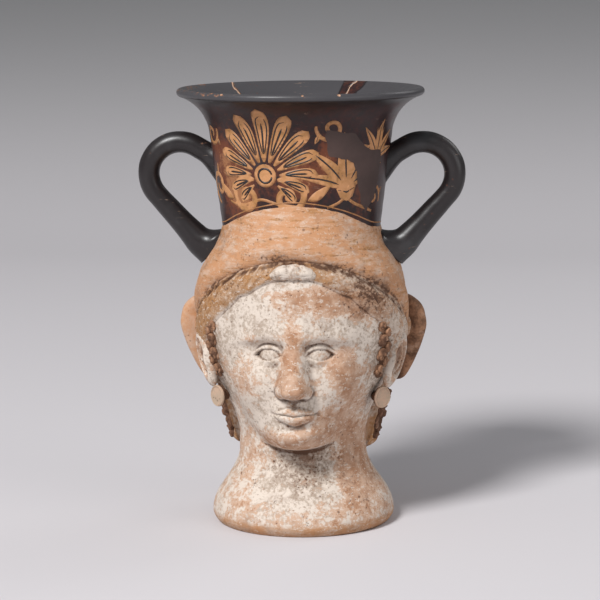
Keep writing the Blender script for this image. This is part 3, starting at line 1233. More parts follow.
def ragged_outline(shares, inset, seed):
    """A break's outline (across, height), uneven as fired clay breaks, and drawn in by the inset."""
    corners = np.array(shares) * [RIM_RADIUS, CUP_HEIGHT - JOINT_HEIGHT] + [0, JOINT_HEIGHT]
    outline = []
    for first, last in zip(corners, np.roll(corners, -1, axis=0)):
        count = max(int(np.linalg.norm(last - first) / (1.0 * MM)), 1)
        outline.extend(first + (last - first) * k / count for k in range(count))
    outline = np.array(outline)
    way = np.roll(outline, -1, axis=0) - np.roll(outline, 1, axis=0)
    square = np.stack([way[:, 1], -way[:, 0]], 1) / np.linalg.norm(way, axis=1)[:, None]
    square = square if turning_area(outline) > 0 else -square
    place = np.stack([outline[:, 0], 0 * outline[:, 0], outline[:, 1]], 1)
    uneven = 0.55 * MM * layered_lumps(place, 3.2 * MM, 3, seed)
    return outline + square * (uneven - inset)[:, None]


def outline_prism(outline, facing):
    """A closed block with that outline, which reaches from the axis out past the rim."""
    count = len(outline)
    near, far = facing * 2 * MM, facing * (RIM_RADIUS + 6 * MM)
    points = [(x, depth, z) for depth in (near, far) for x, z in outline]
    faces = [list(range(count)), list(range(count, 2 * count))[::-1]]
    faces += [[k, count + k, count + (k + 1) % count, (k + 1) % count] for k in range(count)]
    return points, outward(points, faces)


def carved(mesh, cutter, operation):
    """The result of one exact boolean on two closed meshes, as a new mesh."""
    base, tool = linked("carved", mesh), linked("carving_tool", cutter)
    change = base.modifiers.new("carve", "BOOLEAN")
    change.operation, change.solver, change.object = operation, "EXACT", tool
    change.material_mode = "INDEX"
    result = bpy.data.meshes.new_from_object(base.evaluated_get(bpy.context.evaluated_depsgraph_get()))
    base.modifiers.remove(change)
    for thing in (base, tool):
        bpy.data.objects.remove(thing)
    if not len(result.polygons):
        raise RuntimeError("A boolean left nothing of " + mesh.name)
    return result


def mouth_mesh(materials, columns=400):
    profile = Mouth().profile()
    turns, rows = round_turns(columns), len(profile)
    radius, z = profile[:, :1], profile[:, 1:]
    ripple = np.where(np.arange(rows) < int(0.58 * rows), 0.35, 1.0)[:, None]
    points = round_axis(turned_skin(radius, turns, z, ripple), turns, z).reshape(-1, 3)
    faces = grid_faces(rows, columns, wrap_rows=True, wrap_columns=True)
    return plain_mesh("mouth_wall", points, outward(points, faces), materials)


def chip_mesh(place, size, seed, materials):
    """A small ragged lump, to knock out of the lip."""
    climbs = np.linspace(-np.pi / 2, np.pi / 2, 9)[1:-1]
    ways = np.array([
        [[math.cos(c) * math.cos(t), math.cos(c) * math.sin(t), math.sin(c)] for t in round_turns(14)]
        for c in climbs
    ])
    rings = ways * (size * (1 + 0.35 * lumps(ways, 0.6, seed)))[..., None] + np.array(place)
    points, faces = closed_tube(rings)
    return plain_mesh("chip", points, outward(points, faces), materials, index=1)


def nearness(points, outline, reach):
    """1 on a break's outline, falling to 0 at the reach."""
    places = points[:, [0, 2]]
    best = np.full(len(places), 1.0)
    for first, last in zip(outline, np.roll(outline, -1, axis=0)):
        way = last - first
        share = np.clip(((places - first) @ way) / (way @ way), 0, 1)
        best = np.minimum(best, np.linalg.norm(places - first - share[:, None] * way, axis=1))
    return np.clip(1 - best / reach, 0, 1)


def gloss_masks(points, sherd, fill):
    """Where the gloss misfired, and where it has worn or broken away."""
    turn = np.arctan2(points[:, 0], -points[:, 1])
    radius = np.hypot(points[:, 0], points[:, 1])
    outside = radius > Mouth().outside(np.minimum(points[:, 2], CUP_HEIGHT - 1.8 * MM)) - 1.2 * MM
    red = np.zeros(len(points))
    for degrees_round, height, half_width, half_height, amount in MISFIRED_PATCHES:
        away = (np.degrees(turn) - degrees_round + 180) % 360 - 180
        red += amount * mound(away * 0.68, points[:, 2] / MM - height, half_width, half_height)
    ground = 0.10 + 0.12 * smooth_step((192 - points[:, 2] / MM) / 5)
    red = np.where(outside, ground + red, -0.35)
    lip = smooth_step((points[:, 2] - CUP_HEIGHT + 2.6 * MM) / (1.6 * MM))
    left = smooth_step((-np.sin(turn) - 0.1) / 0.5) * (np.cos(turn) > -0.5)
    edge = lip * (0.20 + 0.40 * left)
    at_sherd = nearness(points, sherd, 0.9 * MM) * (points[:, 1] > 0)
    at_fill = nearness(points, fill, 0.6 * MM) * (points[:, 1] < 0)
    chips = np.zeros(len(points))
    for middle, size in LIP_CHIPS:
        place = lip_place(middle)
        chips += np.clip(1.6 - np.linalg.norm(points - place, axis=1) / size, 0, 1)
    worn_break = smooth_step(points[:, 0] / (20 * MM)) * nearness(points, sherd, 7 * MM)
    worn_break = smooth_step((worn_break - 0.40) / 0.12) * (points[:, 1] > 0) * ~outside
    edge = np.maximum(np.maximum(edge, 1.3 * at_sherd), np.maximum(0.55 * at_fill, 1.2 * chips))
    return {"misfired": red + 0.72 * worn_break, "edge": edge}


def lip_place(across):
    reach = RIM_RADIUS - 0.4 * MM
    return np.array([across, -math.sqrt(reach**2 - across**2), CUP_HEIGHT - 0.2 * MM])


def build_mouth():
    pair = [black_gloss("black_gloss", 0.32), broken_clay("broken_clay")]
    filling = plaster("plaster")
    sherd, fill = ragged_outline(SHERD_SHARES, 0.0, SHERD_SEED), ragged_outline(FILL_SHARES, 0.0, FILL_SEED)
    inner_sherd = ragged_outline(SHERD_SHARES, 2 * sizes().crack, SHERD_SEED)
    wall = mouth_mesh(pair)

    def cut(mesh, outline, facing, operation):
        return carved(mesh, plain_mesh("tool", *outline_prism(outline, facing), pair, 1), operation)

    sherd_mesh = cut(wall, inner_sherd, BACK, "INTERSECT")
    fill_mesh = cut(wall, fill, FRONT, "INTERSECT")
    rest = cut(cut(wall, sherd, BACK, "DIFFERENCE"), fill, FRONT, "DIFFERENCE")
    for number, (middle, size) in enumerate(LIP_CHIPS):
        rest = carved(rest, chip_mesh(lip_place(middle), size, 40 + number, pair), "DIFFERENCE")
    fill_mesh.polygons.foreach_set("material_index", [0] * len(fill_mesh.polygons))
    fill_mesh.materials.clear()
    fill_mesh.materials.append(filling)
    for name, mesh, node, slot in (
        ("turned_mouth", rest, "mouth", "black_gloss"), ("rim_sherd", sherd_mesh, "rim_sherd_back", "black_gloss"),
        ("neck_fill", fill_mesh, "plaster_fill", "conservation_plaster"),
    ):
        masks = {} if mesh is fill_mesh else gloss_masks(point_array(mesh), sherd, fill)
        settle(name, mesh, node, masks)
        mesh.set_sharp_from_angle(angle=math.radians(40))


# The painted neck. Its drawings are laid out unrolled: millimetres round the neck from the middle
# of the front, and millimetres up from the table.

UNROLLED_RADIUS = 38.0


def headings(angle):
    """The way along an angle, and the way square to it."""
    along = np.array([math.cos(angle), math.sin(angle)])
    return along, np.array([-along[1], along[0]])


def bent_line(base, angle, length, bend, shares):
    """Points at shares of a line that leaves its base at an angle and bends aside."""
    along, aside = headings(angle)
    t = shares[:, None]
    return np.array(base) + t * length * along + bend * length * t**2 * aside


def petal(base, angle, length, half, bend, last=None):
    """The outline that lies so far to both sides of a bent line."""
    spine = bent_line(base, angle, length, bend, np.linspace(0, 1, len(half)))
    aside = half[:, None] * headings(angle)[1]
    return np.concatenate([spine + aside, (spine - aside)[::-1][1:last]])


def leaf(base, angle, length, width, bend):
    """A petal that is fullest near its far end."""
    t = np.linspace(0, 1, 15)
    half = width / 2 * (0.12 + 0.88 * t**0.8) * np.sqrt(np.maximum(1 - t**5, 0))
    return petal(base, angle, length, half, bend)


def blade(base, angle, length, width, bend=0.0):
    """A leaf that is pointed at both ends."""
    half = width / 2 * np.sin(np.pi * np.linspace(0, 1, 15) ** 0.8)
    return petal(base, angle, length, half, bend, -1)


def ribbon(path, width, taper=0.25):
    """A stroke along a path, which thins towards its ends."""
    path = np.asarray(path, dtype=float)
    way = np.gradient(path, axis=0)
    aside = np.stack([-way[:, 1], way[:, 0]], 1) / np.linalg.norm(way, axis=1)[:, None]
    t = np.linspace(0, 1, len(path))
    half = width / 2 * (taper + (1 - taper) * np.sqrt(np.clip(np.minimum(t, 1 - t) * 8, 0, 1)))
    return np.concatenate([path + half[:, None] * aside, (path - half[:, None] * aside)[::-1]])


def spiral(middle, wide, narrow, start, sweep, count=44):
    """Points that wind in from the wide radius to the narrow one."""
    t = np.linspace(0, 1, count)
    radius = wide + (narrow - wide) * t**0.85
    angle = start + sweep * t
    return np.array(middle) + np.stack([radius * np.cos(angle), radius * np.sin(angle)], 1)


def ring_of(middle, radius, count=20, first=0.0, sweep=2 * math.pi):
    angle = first + np.linspace(0, sweep, count, endpoint=sweep < 6.28)
    return np.array(middle) + radius * np.stack([np.cos(angle), np.sin(angle)], 1)


class Drawing:
    """Bare clay shapes and black lines of one design, mirrored or moved as a whole."""

    def __init__(self):
        self.shapes, self.lines = [], []

    def add(self, other, middle=(0, 0), flip=1, turn=0.0):
        cosine, sine = math.cos(turn), math.sin(turn)
        turning = np.array([[cosine, sine], [-sine, cosine]])
        for mine, theirs in ((self.shapes, other.shapes), (self.lines, other.lines)):
            mine += [(np.array(outline) @ turning) * [flip, 1] + np.array(middle) for outline in theirs]


def palmette(size, petals, spread):
    """Petals that fan out of a heart, over a pair of volutes."""
    drawing = Drawing()
    for k in range(petals):
        share = k / (petals - 1) * 2 - 1
        angle = QUARTER_TURN - share * spread / 2
        length = size * (1 - 0.42 * abs(share) ** 1.5)
        way = headings(angle)[0]
        root, reach = 0.22 * size * way, length - 0.22 * size
        width, bend = length * 0.92 * spread / petals, -0.16 * share
        drawing.shapes.append(leaf(root, angle, reach, width, bend))
        rib = bent_line(root, angle, reach, bend, np.linspace(0.15, 0.72, 9))
        inner = leaf(root + 0.12 * length * way, angle, 0.70 * reach, 0.66 * width, bend)
        drawing.lines.append(ribbon(rib, 0.026 * size))
        drawing.lines += [ribbon(contour, 0.018 * size) for contour in (inner[:15], inner[15:])]
    heart = (0, 0.02 * size)
    drawing.shapes.append(ring_of(heart, 0.17 * size, 22))
    drawing.lines.append(ribbon(ring_of(heart, 0.105 * size, 16, 0.2, 5.9), 0.03 * size, 0.8))
    for side in (-1, 1):
        middle = (side * 0.34 * size, -0.30 * size)
        path = spiral(middle, 0.30 * size, 0.06 * size, QUARTER_TURN + side * 0.55, -side * 8.4)
        drawing.shapes += [
            ribbon(path, 0.095 * size, 0.5), ring_of(middle, 0.055 * size, 12),
            blade((side * 0.62 * size, -0.34 * size), side * 0.35 + (math.pi if side < 0 else 0),
                  0.42 * size, 0.14 * size, side * 0.25),
        ]
    return drawing


def lotus(size):
    """A lotus flower: pointed sepals, a fan of narrow petals between them, and a cup."""
    drawing = Drawing()
    for angle, length, width, bend in (
        (1.571, 1.0, 0.30, 0.0), (1.05, 0.98, 0.24, -0.18), (2.09, 0.98, 0.24, 0.18),
        (0.62, 0.92, 0.20, -0.30), (2.52, 0.92, 0.20, 0.30),
    ):
        drawing.shapes.append(blade((0, 0), angle, length * size, width * size, bend))
        rib = bent_line((0, 0), angle, length * size, bend, np.linspace(0.2, 0.85, 9))
        drawing.lines.append(ribbon(rib, 0.028 * size))
    for angle in (1.31, 1.83, 0.83, 2.31):
        drawing.shapes.append(blade((0, 0.18 * size), angle, 0.62 * size, 0.09 * size))
    cup = [(-0.20, 0.02), (-0.13, -0.15), (0, -0.22), (0.13, -0.15), (0.20, 0.02), (0.12, 0.16), (-0.12, 0.16)]
    drawing.shapes.append(np.array(cup) * size)
    drawing.lines.append(ribbon(np.array([(-0.17, 0.0), (0, -0.06), (0.17, 0.0)]) * size, 0.03 * size))
    return drawing


def tendril(wide, sweep, stroke):
    """A spiral stalk with ivy leaves on its outer side."""
    drawing = Drawing()
    path = spiral((0, 0), wide, 0.16 * wide, -2.2, sweep)
    drawing.shapes.append(ribbon(path, stroke, 0.6))
    for place, lean in ((4, -0.9), (15, -0.7)):
        base, way = path[place] * 1.04, math.atan2(*(path[place])[::-1]) + lean
        drawing.shapes.append(blade(base, way, 0.62 * wide, 0.30 * wide, 0.2))
        rib = bent_line(base, way, 0.62 * wide, 0.2, np.linspace(0.12, 0.8, 7))
        drawing.lines.append(ribbon(rib, 0.035 * wide))
    return drawing


def stalk(points):
    """A curved stroke through the given places."""
    drawing = Drawing()
    drawing.shapes.append(ribbon(smoothed(finer(np.array(points, dtype=float), 40), 12), 1.3, 0.7))
    return drawing


def neck_drawing():
    """The whole design round the neck."""
    d = Drawing()
    d.add(palmette(30.0, 13, 4.3), (-12.5, 158.5))
    d.add(tendril(8.0, -8.2, 2.2), (-43.5, 153.0), 1, 0.5)
    d.add(tendril(6.0, -7.6, 1.8), (-44.5, 176.0), 1, 2.6)
    d.add(lotus(25.0), (24.0, 153.0), 1, 0.10)
    d.add(tendril(6.4, -7.6, 1.7), (15.5, 179.5), -1, 2.4)
    d.add(lotus(17.0), (41.0, 165.5), 1, -0.1)
    d.add(tendril(5.6, -7.6, 1.4), (42.0, 148.5), -1, -0.4)
    d.add(stalk([(-34, 147), (-29, 145.5), (-22, 146), (-15, 149.5), (-8, 146.5), (0, 146), (6, 144.4)]))
    d.add(stalk([(15, 145), (20, 146.5), (24, 149.6), (28, 146.4), (35, 144), (41, 142)]))
    half = math.pi * UNROLLED_RADIUS
    for side in (-1, 1):
        d.add(palmette(15.0, 9, 3.9), (side * (half - 34), 152.0), side, 0.15)
        d.add(tendril(6.2, -7.8, 1.4), (side * (half - 16.5), 147.0), side, 0.4)
    d.add(lotus(19.0), (half - 0.5, 145.0))
    return d


def unrolled(outline):
    """The plaster's outline, from across and up to round the neck and up."""
    z = outline[:, 1]
    share = np.clip(outline[:, 0] / Mouth().outside(z), -0.999, 0.999)
    return np.stack([UNROLLED_RADIUS * np.arcsin(share), z / MM], 1)


def anticlockwise(outline):
    return outline if turning_area(outline) > 0 else outline[::-1]


def film(name, outlines, fill, lift, material, grain=1.9):
    """A thin closed skin on the neck with the given outlines, cut away where the plaster is."""
    corners, faces = [], []
    for outline in [fill] + [np.asarray(o) for o in outlines]:
        faces.append(list(range(len(corners), len(corners) + len(outline))))
        corners.extend(anticlockwise(outline).tolist())
    if grain:
        low, high = np.min(corners, axis=0), np.max(corners, axis=0)
        for i, v in enumerate(np.arange(low[1], high[1], grain * 0.87)):
            for u in np.arange(low[0], high[0], grain):
                corners.append([u + grain / 2 * (i % 2), v])
    found = delaunay_2d_cdt([Vector(c) for c in corners], [], faces, 0, 1e-4, True)
    flat, triangles, owners = found[0], found[2], found[5]
    kept = [tri for tri, owner in zip(triangles, owners) if owner and 0 not in owner]
    used = sorted({k for tri in kept for k in tri})
    place = {old: new for new, old in enumerate(used)}
    kept = [[place[k] for k in tri] for tri in kept]
    plane = np.array([flat[k] for k in used])
    turn, z = plane[:, 0] / UNROLLED_RADIUS, plane[:, 1] * MM
    skin = turned_skin(Mouth().outside(z), turn, z, 0.35)
    points = np.concatenate([round_axis(skin + raised, turn, z) for raised in (lift, -0.12 * MM)])
    count = len(used)
    sides = dict.fromkeys(side for a, b, c in kept for side in ((a, b), (b, c), (c, a)))
    rim = [side for side in sides if side[::-1] not in sides]
    faces = kept + [[count + c, count + b, count + a] for a, b, c in kept]
    faces += [[b, a, count + a, count + b] for a, b in rim]
    edge = np.zeros(2 * count)
    edge[[k for side in rim for k in side]] = 0.4
    new_piece(name, points, outward(points, faces), material, None, {"edge": edge})


def head_border(heads, mouth):
    """Height at which the heads' clay meets the turned neck, all round."""
    z = np.linspace(JOINT_HEIGHT - 2 * MM, heads.crown_top, 160)
    turns = np.linspace(-math.pi, math.pi, 361)
    heights = []
    for turn in turns:
        facing = FRONT if math.cos(turn) >= 0 else BACK
        local = turn if facing == FRONT else math.copysign(math.pi - abs(turn), turn)
        radius = heads.side_of(facing)(np.full(len(z), local), z)[0]
        above = np.nonzero(radius < mouth.outside(np.maximum(z, JOINT_HEIGHT)))[0]
        heights.append(z[above[0]] if len(above) else z[-1])
    return turns, smoothed(np.array(heights), 6)


def build_neck_drawing():
    fill = unrolled(ragged_outline(FILL_SHARES, 0.0, FILL_SEED))
    drawing = neck_drawing()
    film("reserved_figures", drawing.shapes, fill, 0.05 * MM, reserved_clay("reserved_clay"))
    film("relief_lines", drawing.lines, fill, 0.10 * MM, painted_line("relief_line"), grain=0)
    turns, heights = head_border(Heads(), Mouth())
    path = np.stack([turns * UNROLLED_RADIUS, heights / MM + 1.5], 1)
    border = np.concatenate([path + [0, 0.28], (path - [0, 0.28])[::-1]])
    film("clay_line", [border], fill, 0.06 * MM, reserved_clay("line_clay"))


# Handles, ears and other applied pieces


def build_handles():
    h, mouth, heads = handle_sizes(), Mouth(), Heads()
    middle = np.array([h.loop_offset, 0.0, h.loop_height])
    top = QUARTER_TURN + h.root_angle
    bend = np.linspace(top, -h.arm_angle, 90)
    loop = middle + h.loop * np.stack([np.cos(bend), 0 * bend, np.sin(bend)], 1)
    root_way = np.array([-math.sin(top), 0.0, math.cos(top)])
    arm_way = np.array([-math.sin(h.arm_angle), 0.0, -math.cos(h.arm_angle)])
    root = loop[0] + np.linspace(13 * MM, 0, 26)[:-1, None] * root_way
    arm = loop[-1] + np.linspace(0, 36 * MM, 64)[1:, None] * arm_way
    path = np.concatenate([root, loop, arm])
    length = np.concatenate([[0], np.cumsum(np.linalg.norm(np.diff(path, axis=0), axis=1))])
    arm_start = length[len(root) + len(loop) - 1]
    share = np.clip((length - arm_start) / (36 * MM), 0, 1)
    radii = h.radius + (h.arm - h.radius) * smooth_step(share / 0.64)
    radii = radii + (h.foot - h.arm) * smooth_step((share - 0.45) / 0.55)
    near_root = smooth_step((9.5 * MM - length) / (8 * MM))
    radii = radii + h.flare * near_root**1.6
    rings = swept_rings(path, radii, h.sides)
    inner = np.maximum(-np.cos(round_turns(h.sides)), 0) ** 1.6
    webbed = 0.8 * np.clip((share - 0.70) / 0.17, 0, 1) ** 2
    drawn_in = 0.15 * smooth_step((share - 0.72) / 0.28)
    spine = path[:, None]
    reach = 1 + webbed[:, None] * inner * h.web / radii[:, None]
    reach = reach - drawn_in[:, None] * np.maximum(1 - 2 * inner, 0)
    rings = spine + (rings - spine) * reach[..., None]
    smeared = h.web * np.clip(1 - length / (9.5 * MM), 0, 1)[:, None] ** 2.2 * inner
    rings = rings + smeared[..., None] * np.array([-0.30, 0.0, -0.95])
    shrink = 1 - 0.022 * (1 + layered_lumps(rings, 9 * MM, 2, 51))
    rings = spine + (rings - spine) * shrink[..., None]
    points, faces = closed_tube(rings)

    def masks(side, places):
        radius = np.hypot(places[:, 0], places[:, 1])
        root_place = mound(radius - 43.5 * MM, places[:, 2] - 170.5 * MM, 4.5 * MM, 3.2 * MM)
        edge = (0.62 if side == "left" else 0.35) * root_place
        return {"misfired": 0.04 + 0.12 * lumps(places, 20 * MM, 52), "edge": edge}

    points = pressed_on(points, mouth, heads)
    paired_pieces("handle_roll_", points, faces, black_gloss("handle_gloss"), "handle_", masks)


def pressed_on(points, mouth, heads):
    """Points that would come out inside the cup stop a little way into its clay."""
    points = points.copy()
    radius = np.hypot(points[:, 0], points[:, 1])
    turn = np.arctan2(points[:, 0], -points[:, 1])
    z = points[:, 2]
    neck = mouth.outside(np.maximum(z, JOINT_HEIGHT)) - 1.3 * MM
    front = np.abs(turn) <= QUARTER_TURN
    back_turn = np.sign(turn) * (math.pi - np.abs(turn))
    skin = np.where(front, heads.woman(turn, z)[0], heads.satyr(back_turn, z)[0]) - 2.0 * MM
    neck_from, skin_to = 128 * MM, 143 * MM
    limit = np.where(z < neck_from, skin, np.maximum(neck, np.where(z < skin_to, skin, 0)))
    scale = np.maximum(limit / np.maximum(radius, MM), 1.0)
    points[:, 0] *= scale
    points[:, 1] *= scale
    return points


def ball_ways(rings, sides):
    """Over a ball: turns round its front pole, distances from that pole's axis, and directions."""
    lean = np.linspace(0, np.pi, rings + 2)[1:-1, None]
    about = round_turns(sides) + 0 * lean
    reach = np.sin(lean + 0 * about)
    return about, reach, np.stack([reach * np.cos(about), reach * np.sin(about), np.cos(lean + 0 * about)], -1)


def placed_tube(local, centre, axes, rough, grain, seed):
    """A tube moved from its own axes to its place, with its skin uneven along the last axis."""
    rings = (np.array(centre) + local.reshape(-1, 3) @ np.array(axes, dtype=float)).reshape(local.shape)
    return closed_tube(rings + rough * lumps(rings, grain, seed)[..., None] * axes[2])


def build_woman_ears():
    w = woman_sizes()
    about, reach, ways = ball_ways(56, 84)
    wide, up, thick = np.moveaxis(ways, -1, 0)
    facing_out = smooth_step((thick + 0.12) / 0.3)
    lobe = smooth_step((-up - 0.42) / 0.28)
    bowl = (1 - smooth_step((reach - 0.60) / 0.17)) * (1 - lobe)
    fold = crest(reach - 0.47 - 0.10 * np.cos(about - 2.3), 0.085) * smooth_step((wide + 0.25) / 0.5) * (1 - lobe)
    flap = mound(wide + 0.62, up + 0.10, 0.24, 0.22)
    depth = 2.5 * bowl - 1.25 * fold - 1.1 * flap
    local = np.stack([
        w.ear_width * wide * (1 + 0.10 * up), w.ear_height * up, w.ear_thickness * thick - MM * depth * facing_out,
    ], -1)
    up_way = unit(WOMAN_EAR_UP)
    wide_way = unit(np.cross(up_way, [math.sin(WOMAN_EAR_TURN), -math.cos(WOMAN_EAR_TURN), 0]))
    axes = [wide_way, up_way, np.cross(wide_way, up_way)]
    points, faces = placed_tube(local, WOMAN_EAR_CENTRE, axes, 0.12 * MM, 3 * MM, 61)
    masks = {
        "crevice": with_ends(np.clip(bowl * 0.8 - fold * 0.5, 0, 1), 0.8, 0.0),
        "wear": with_ends(0.25 - 0.6 * crest(reach - 0.88, 0.1), 0.2, 0.2),
    }
    paired_pieces("ear_", points, faces, slipped_clay("ear_clay"), "woman_ear_", masks)


def build_earrings():
    w, look = woman_sizes(), finish()
    turns = round_turns(56)
    line = smoothed(finer(EARRING_SHARES, 44), 2)
    share, depth = line[:, :1], line[:, 1:]
    radius = w.earring * share * (1 - 0.03 * (1 + np.cos(2 * turns + 0.6)))
    local = np.stack([radius * np.cos(turns), radius * np.sin(turns), w.earring_thickness * depth + 0 * turns], -1)
    sine, cosine = math.sin(w.earring_turn), math.cos(w.earring_turn)
    axes = [np.array([cosine, sine, 0.0]), np.array([0.0, 0.0, 1.0]), np.array([sine, -cosine, 0.0])]
    points, faces = placed_tube(local, EARRING_CENTRE, axes, 0.10 * MM, 2 * MM, 62)
    hollow = 0.5 * crest(share - 0.82, 0.05) * (depth > 0.5) + 1.1 * (depth < 0.6)
    masks = {"crevice": with_ends(hollow + 0 * turns, 0.5, 0.1)}
    clay = bare_clay("earring_clay", look.earring, look.pale_clay, 0.25)
    paired_pieces("disc_earring_", points, faces, clay, "earring_", masks)


def build_satyr_ears():
    b, look = satyr_sizes(), finish()
    up, about = np.linspace(0, 1, 84)[:, None], round_turns(72)
    ends = np.maximum(dome(np.clip((up - 0.90) / 0.10, 0, 1)) * dome(np.clip((0.06 - up) / 0.06, 0, 1)), 0.04)
    wide = steady_curve(SATYR_EAR_SHARES, 1, up)
    half_width = b.ear_width * wide / 2 * ends
    half_thick = b.ear_thickness * (0.45 + 0.55 * wide) / 2 * np.sqrt(ends)
    lean = b.ear_width * steady_curve(SATYR_EAR_SHARES, 2, up)
    x, y = np.cos(about), np.sin(about)
    open_share = smooth_step(up / 0.18) * smooth_step((1 - up) / 0.10)
    cup = smooth_step((0.90 - np.abs(x)) / 0.34) * (y > 0)
    sunk = 1.42 * cup * open_share * (0.75 + 0.25 * y)
    vein = 0.10 * crest(x - 0.18, 0.16) * (y > 0) * open_share
    local = np.stack([lean + half_width * x, half_thick * (y - sunk + vein), b.ear_height * up + 0 * x], -1)
    local = local + 0.14 * MM * lumps(local, 4 * MM, 63)[..., None] * [0, 1, 0]
    turn = Matrix.Rotation(-b.ear_turn, 3, "Z") @ Matrix.Rotation(b.ear_lean, 3, "Y")
    rings = local.reshape(-1, 3) @ np.array(turn).T + SATYR_EAR_FOOT
    points, faces = closed_tube(rings.reshape(local.shape))
    near_head = np.clip((48 * MM - np.hypot(points[:-2, 0], points[:-2, 1])) / (4 * MM), 0, 1)
    masks = {"crevice": with_ends(np.clip(0.8 * (cup * open_share).ravel() + near_head, 0, 1), 0.3, 0.3)}
    shades = {"right": bare_clay("ear_dark_clay", look.clay, look.stain, 0.8),
              "left": bare_clay("ear_light_clay", look.pale_clay, look.cloth_clay, 0.12)}
    paired_pieces("leaf_ear_", points, faces, shades, "satyr_ear_", masks)


def build_brow_knot():
    """Three crumbled lumps that run into each other, over the middle of the brow."""
    w, ways = woman_sizes(), ball_ways(70, 90)[2]
    along = np.arctan(ways[..., 0] * 1.2) / math.atan(1.2)
    lobes = 0.84 + 0.16 * np.abs(np.cos(1.5 * np.pi * along)) ** 0.7
    crumbled = lobes * (1 + 0.13 * layered_lumps(ways * [2.4, 1, 1], 0.42, 3, 71))
    across = ways[..., 0] * (w.knot_width + 6.3 * MM) * (0.97 + 0.03 * lobes)
    fall = (across / (11 * MM)) ** 2 * 2.1 * MM
    depth = across**2 / (2 * 46 * MM)
    up, out = ways[..., 1] * 2.7 * MM * crumbled, ways[..., 2] * 3.5 * MM * crumbled
    centre = np.array(Heads().skin_point(FRONT, 0.0, KNOT_HEIGHT, -0.5 * MM))
    points, faces = closed_tube(np.stack([across, up + depth, out - fall], -1) + centre)
    masks = {
        "wear": np.full(len(points), -0.16),
        "crevice": with_ends(0.8 * np.clip((0.93 - crumbled) / 0.12, 0, 1), 0, 0),
    }
    clay = slipped_clay("knot_clay")
    new_piece("brow_lumps", points, outward(points, faces), clay, "brow_knot", masks)


def curl_tree(name):
    """Geometry nodes: a snail curl on each point, facing outwards, as large as the point says."""
    tree = bpy.data.node_groups.new(name, "GeometryNodeTree")
    for socket, kind in (
        ("Geometry", "Geometry"), ("Radius", "Float"), ("Groove", "Float"), ("Turns", "Float"),
        ("Seed", "Int"), ("Clay", "Material"),
    ):
        tree.interface.new_socket(socket, in_out="INPUT", socket_type="NodeSocket" + kind)
    tree.interface.new_socket("Geometry", in_out="OUTPUT", socket_type="NodeSocketGeometry")
    graph = Graph(tree)
    given = tree.nodes.new("NodeGroupInput")
    wires = {socket.name: Wire(graph, socket) for socket in given.outputs if socket.name}
    ball = graph.node("GeometryNodeMeshUVSphere", None, {"Segments": 22, "Rings": 15, "Radius": 1.0})
    place = graph.node("GeometryNodeInputPosition")
    x, y, z = place.parts()
    wave = graph.sum("COSINE", graph.sum("ARCTAN2", y, x) - graph.sum("ARCCOSINE", z) * wires["Turns"] * 2.0)
    outer = (z + 0.35).between(-0.2, 0.5)
    inputs = {0: place, "Scale": wave * wires["Groove"] * outer}
    lift = graph.node("ShaderNodeVectorMath", {"operation": "SCALE"}, inputs)
    shaped = graph.node("GeometryNodeSetPosition", None, {"Geometry": ball, "Offset": lift})
    stored = graph.node(
        "GeometryNodeStoreNamedAttribute", {"data_type": "FLOAT", "domain": "POINT"},
        {"Geometry": shaped, "Name": "crevice", "Value": (0.25 - wave * 0.75) * outer + (1 - outer) * 0.9},
    )
    outward_way = graph.node(
        "GeometryNodeInputNamedAttribute", {"data_type": "FLOAT_VECTOR"}, {"Name": "outward"}
    )
    size = graph.node("GeometryNodeInputNamedAttribute", {"data_type": "FLOAT"}, {"Name": "size"})
    spin = graph.node(
        "FunctionNodeRandomValue", {"data_type": "FLOAT"}, {"Min": 0.0, "Max": 6.283, "Seed": wires["Seed"]}, output=1
    )
    spun = graph.node("ShaderNodeCombineXYZ", None, {"Z": spin})
    to_rotation = graph.node("FunctionNodeEulerToRotation", None, [spun])
    aligned = graph.node(
        "FunctionNodeAlignRotationToVector", {"axis": "Z"}, {"Rotation": to_rotation, "Vector": outward_way}
    )
    copies = graph.node("GeometryNodeInstanceOnPoints", None, {
        "Points": wires["Geometry"], "Instance": stored, "Rotation": aligned, "Scale": size * wires["Radius"],
    })
    real = graph.node("GeometryNodeRealizeInstances", None, [copies])
    dressed = graph.node("GeometryNodeSetMaterial", None, {"Geometry": real, "Material": wires["Clay"]})
    graph.node("NodeGroupOutput", None, [dressed])
    return tree


def grown_curls(name, tree, places, ways, shares, material, seed):
    """The curls of one string: points, faces and how deep each point lies."""
    mesh = bpy.data.meshes.new(name + "_places")
    mesh.from_pydata([tuple(place) for place in places], [], [])
    vectors = mesh.attributes.new("outward", "FLOAT_VECTOR", "POINT")
    vectors.data.foreach_set("vector", np.array(ways, dtype=np.float32).ravel())
    set_values(mesh, "size", shares)
    carrier = linked(name + "_places", mesh)
    change = carrier.modifiers.new("curls", "NODES")
    change.node_group = tree
    given = {"Radius": woman_sizes().curl, "Groove": 0.13, "Turns": 2.6, "Seed": seed, "Clay": material}
    for item in tree.interface.items_tree:
        if item.item_type == "SOCKET" and item.in_out == "INPUT" and item.name in given:
            change[item.identifier] = given[item.name]
    carrier.update_tag()
    result = bpy.data.meshes.new_from_object(carrier.evaluated_get(bpy.context.evaluated_depsgraph_get()))
    carrier.modifiers.remove(change)
    bpy.data.objects.remove(carrier)
    points, faces = point_array(result), [tuple(face.vertices) for face in result.polygons]
    crevice = np.empty(len(points), dtype=np.float32)
    result.attributes["crevice"].data.foreach_get("value", crevice)
    return points, faces, crevice


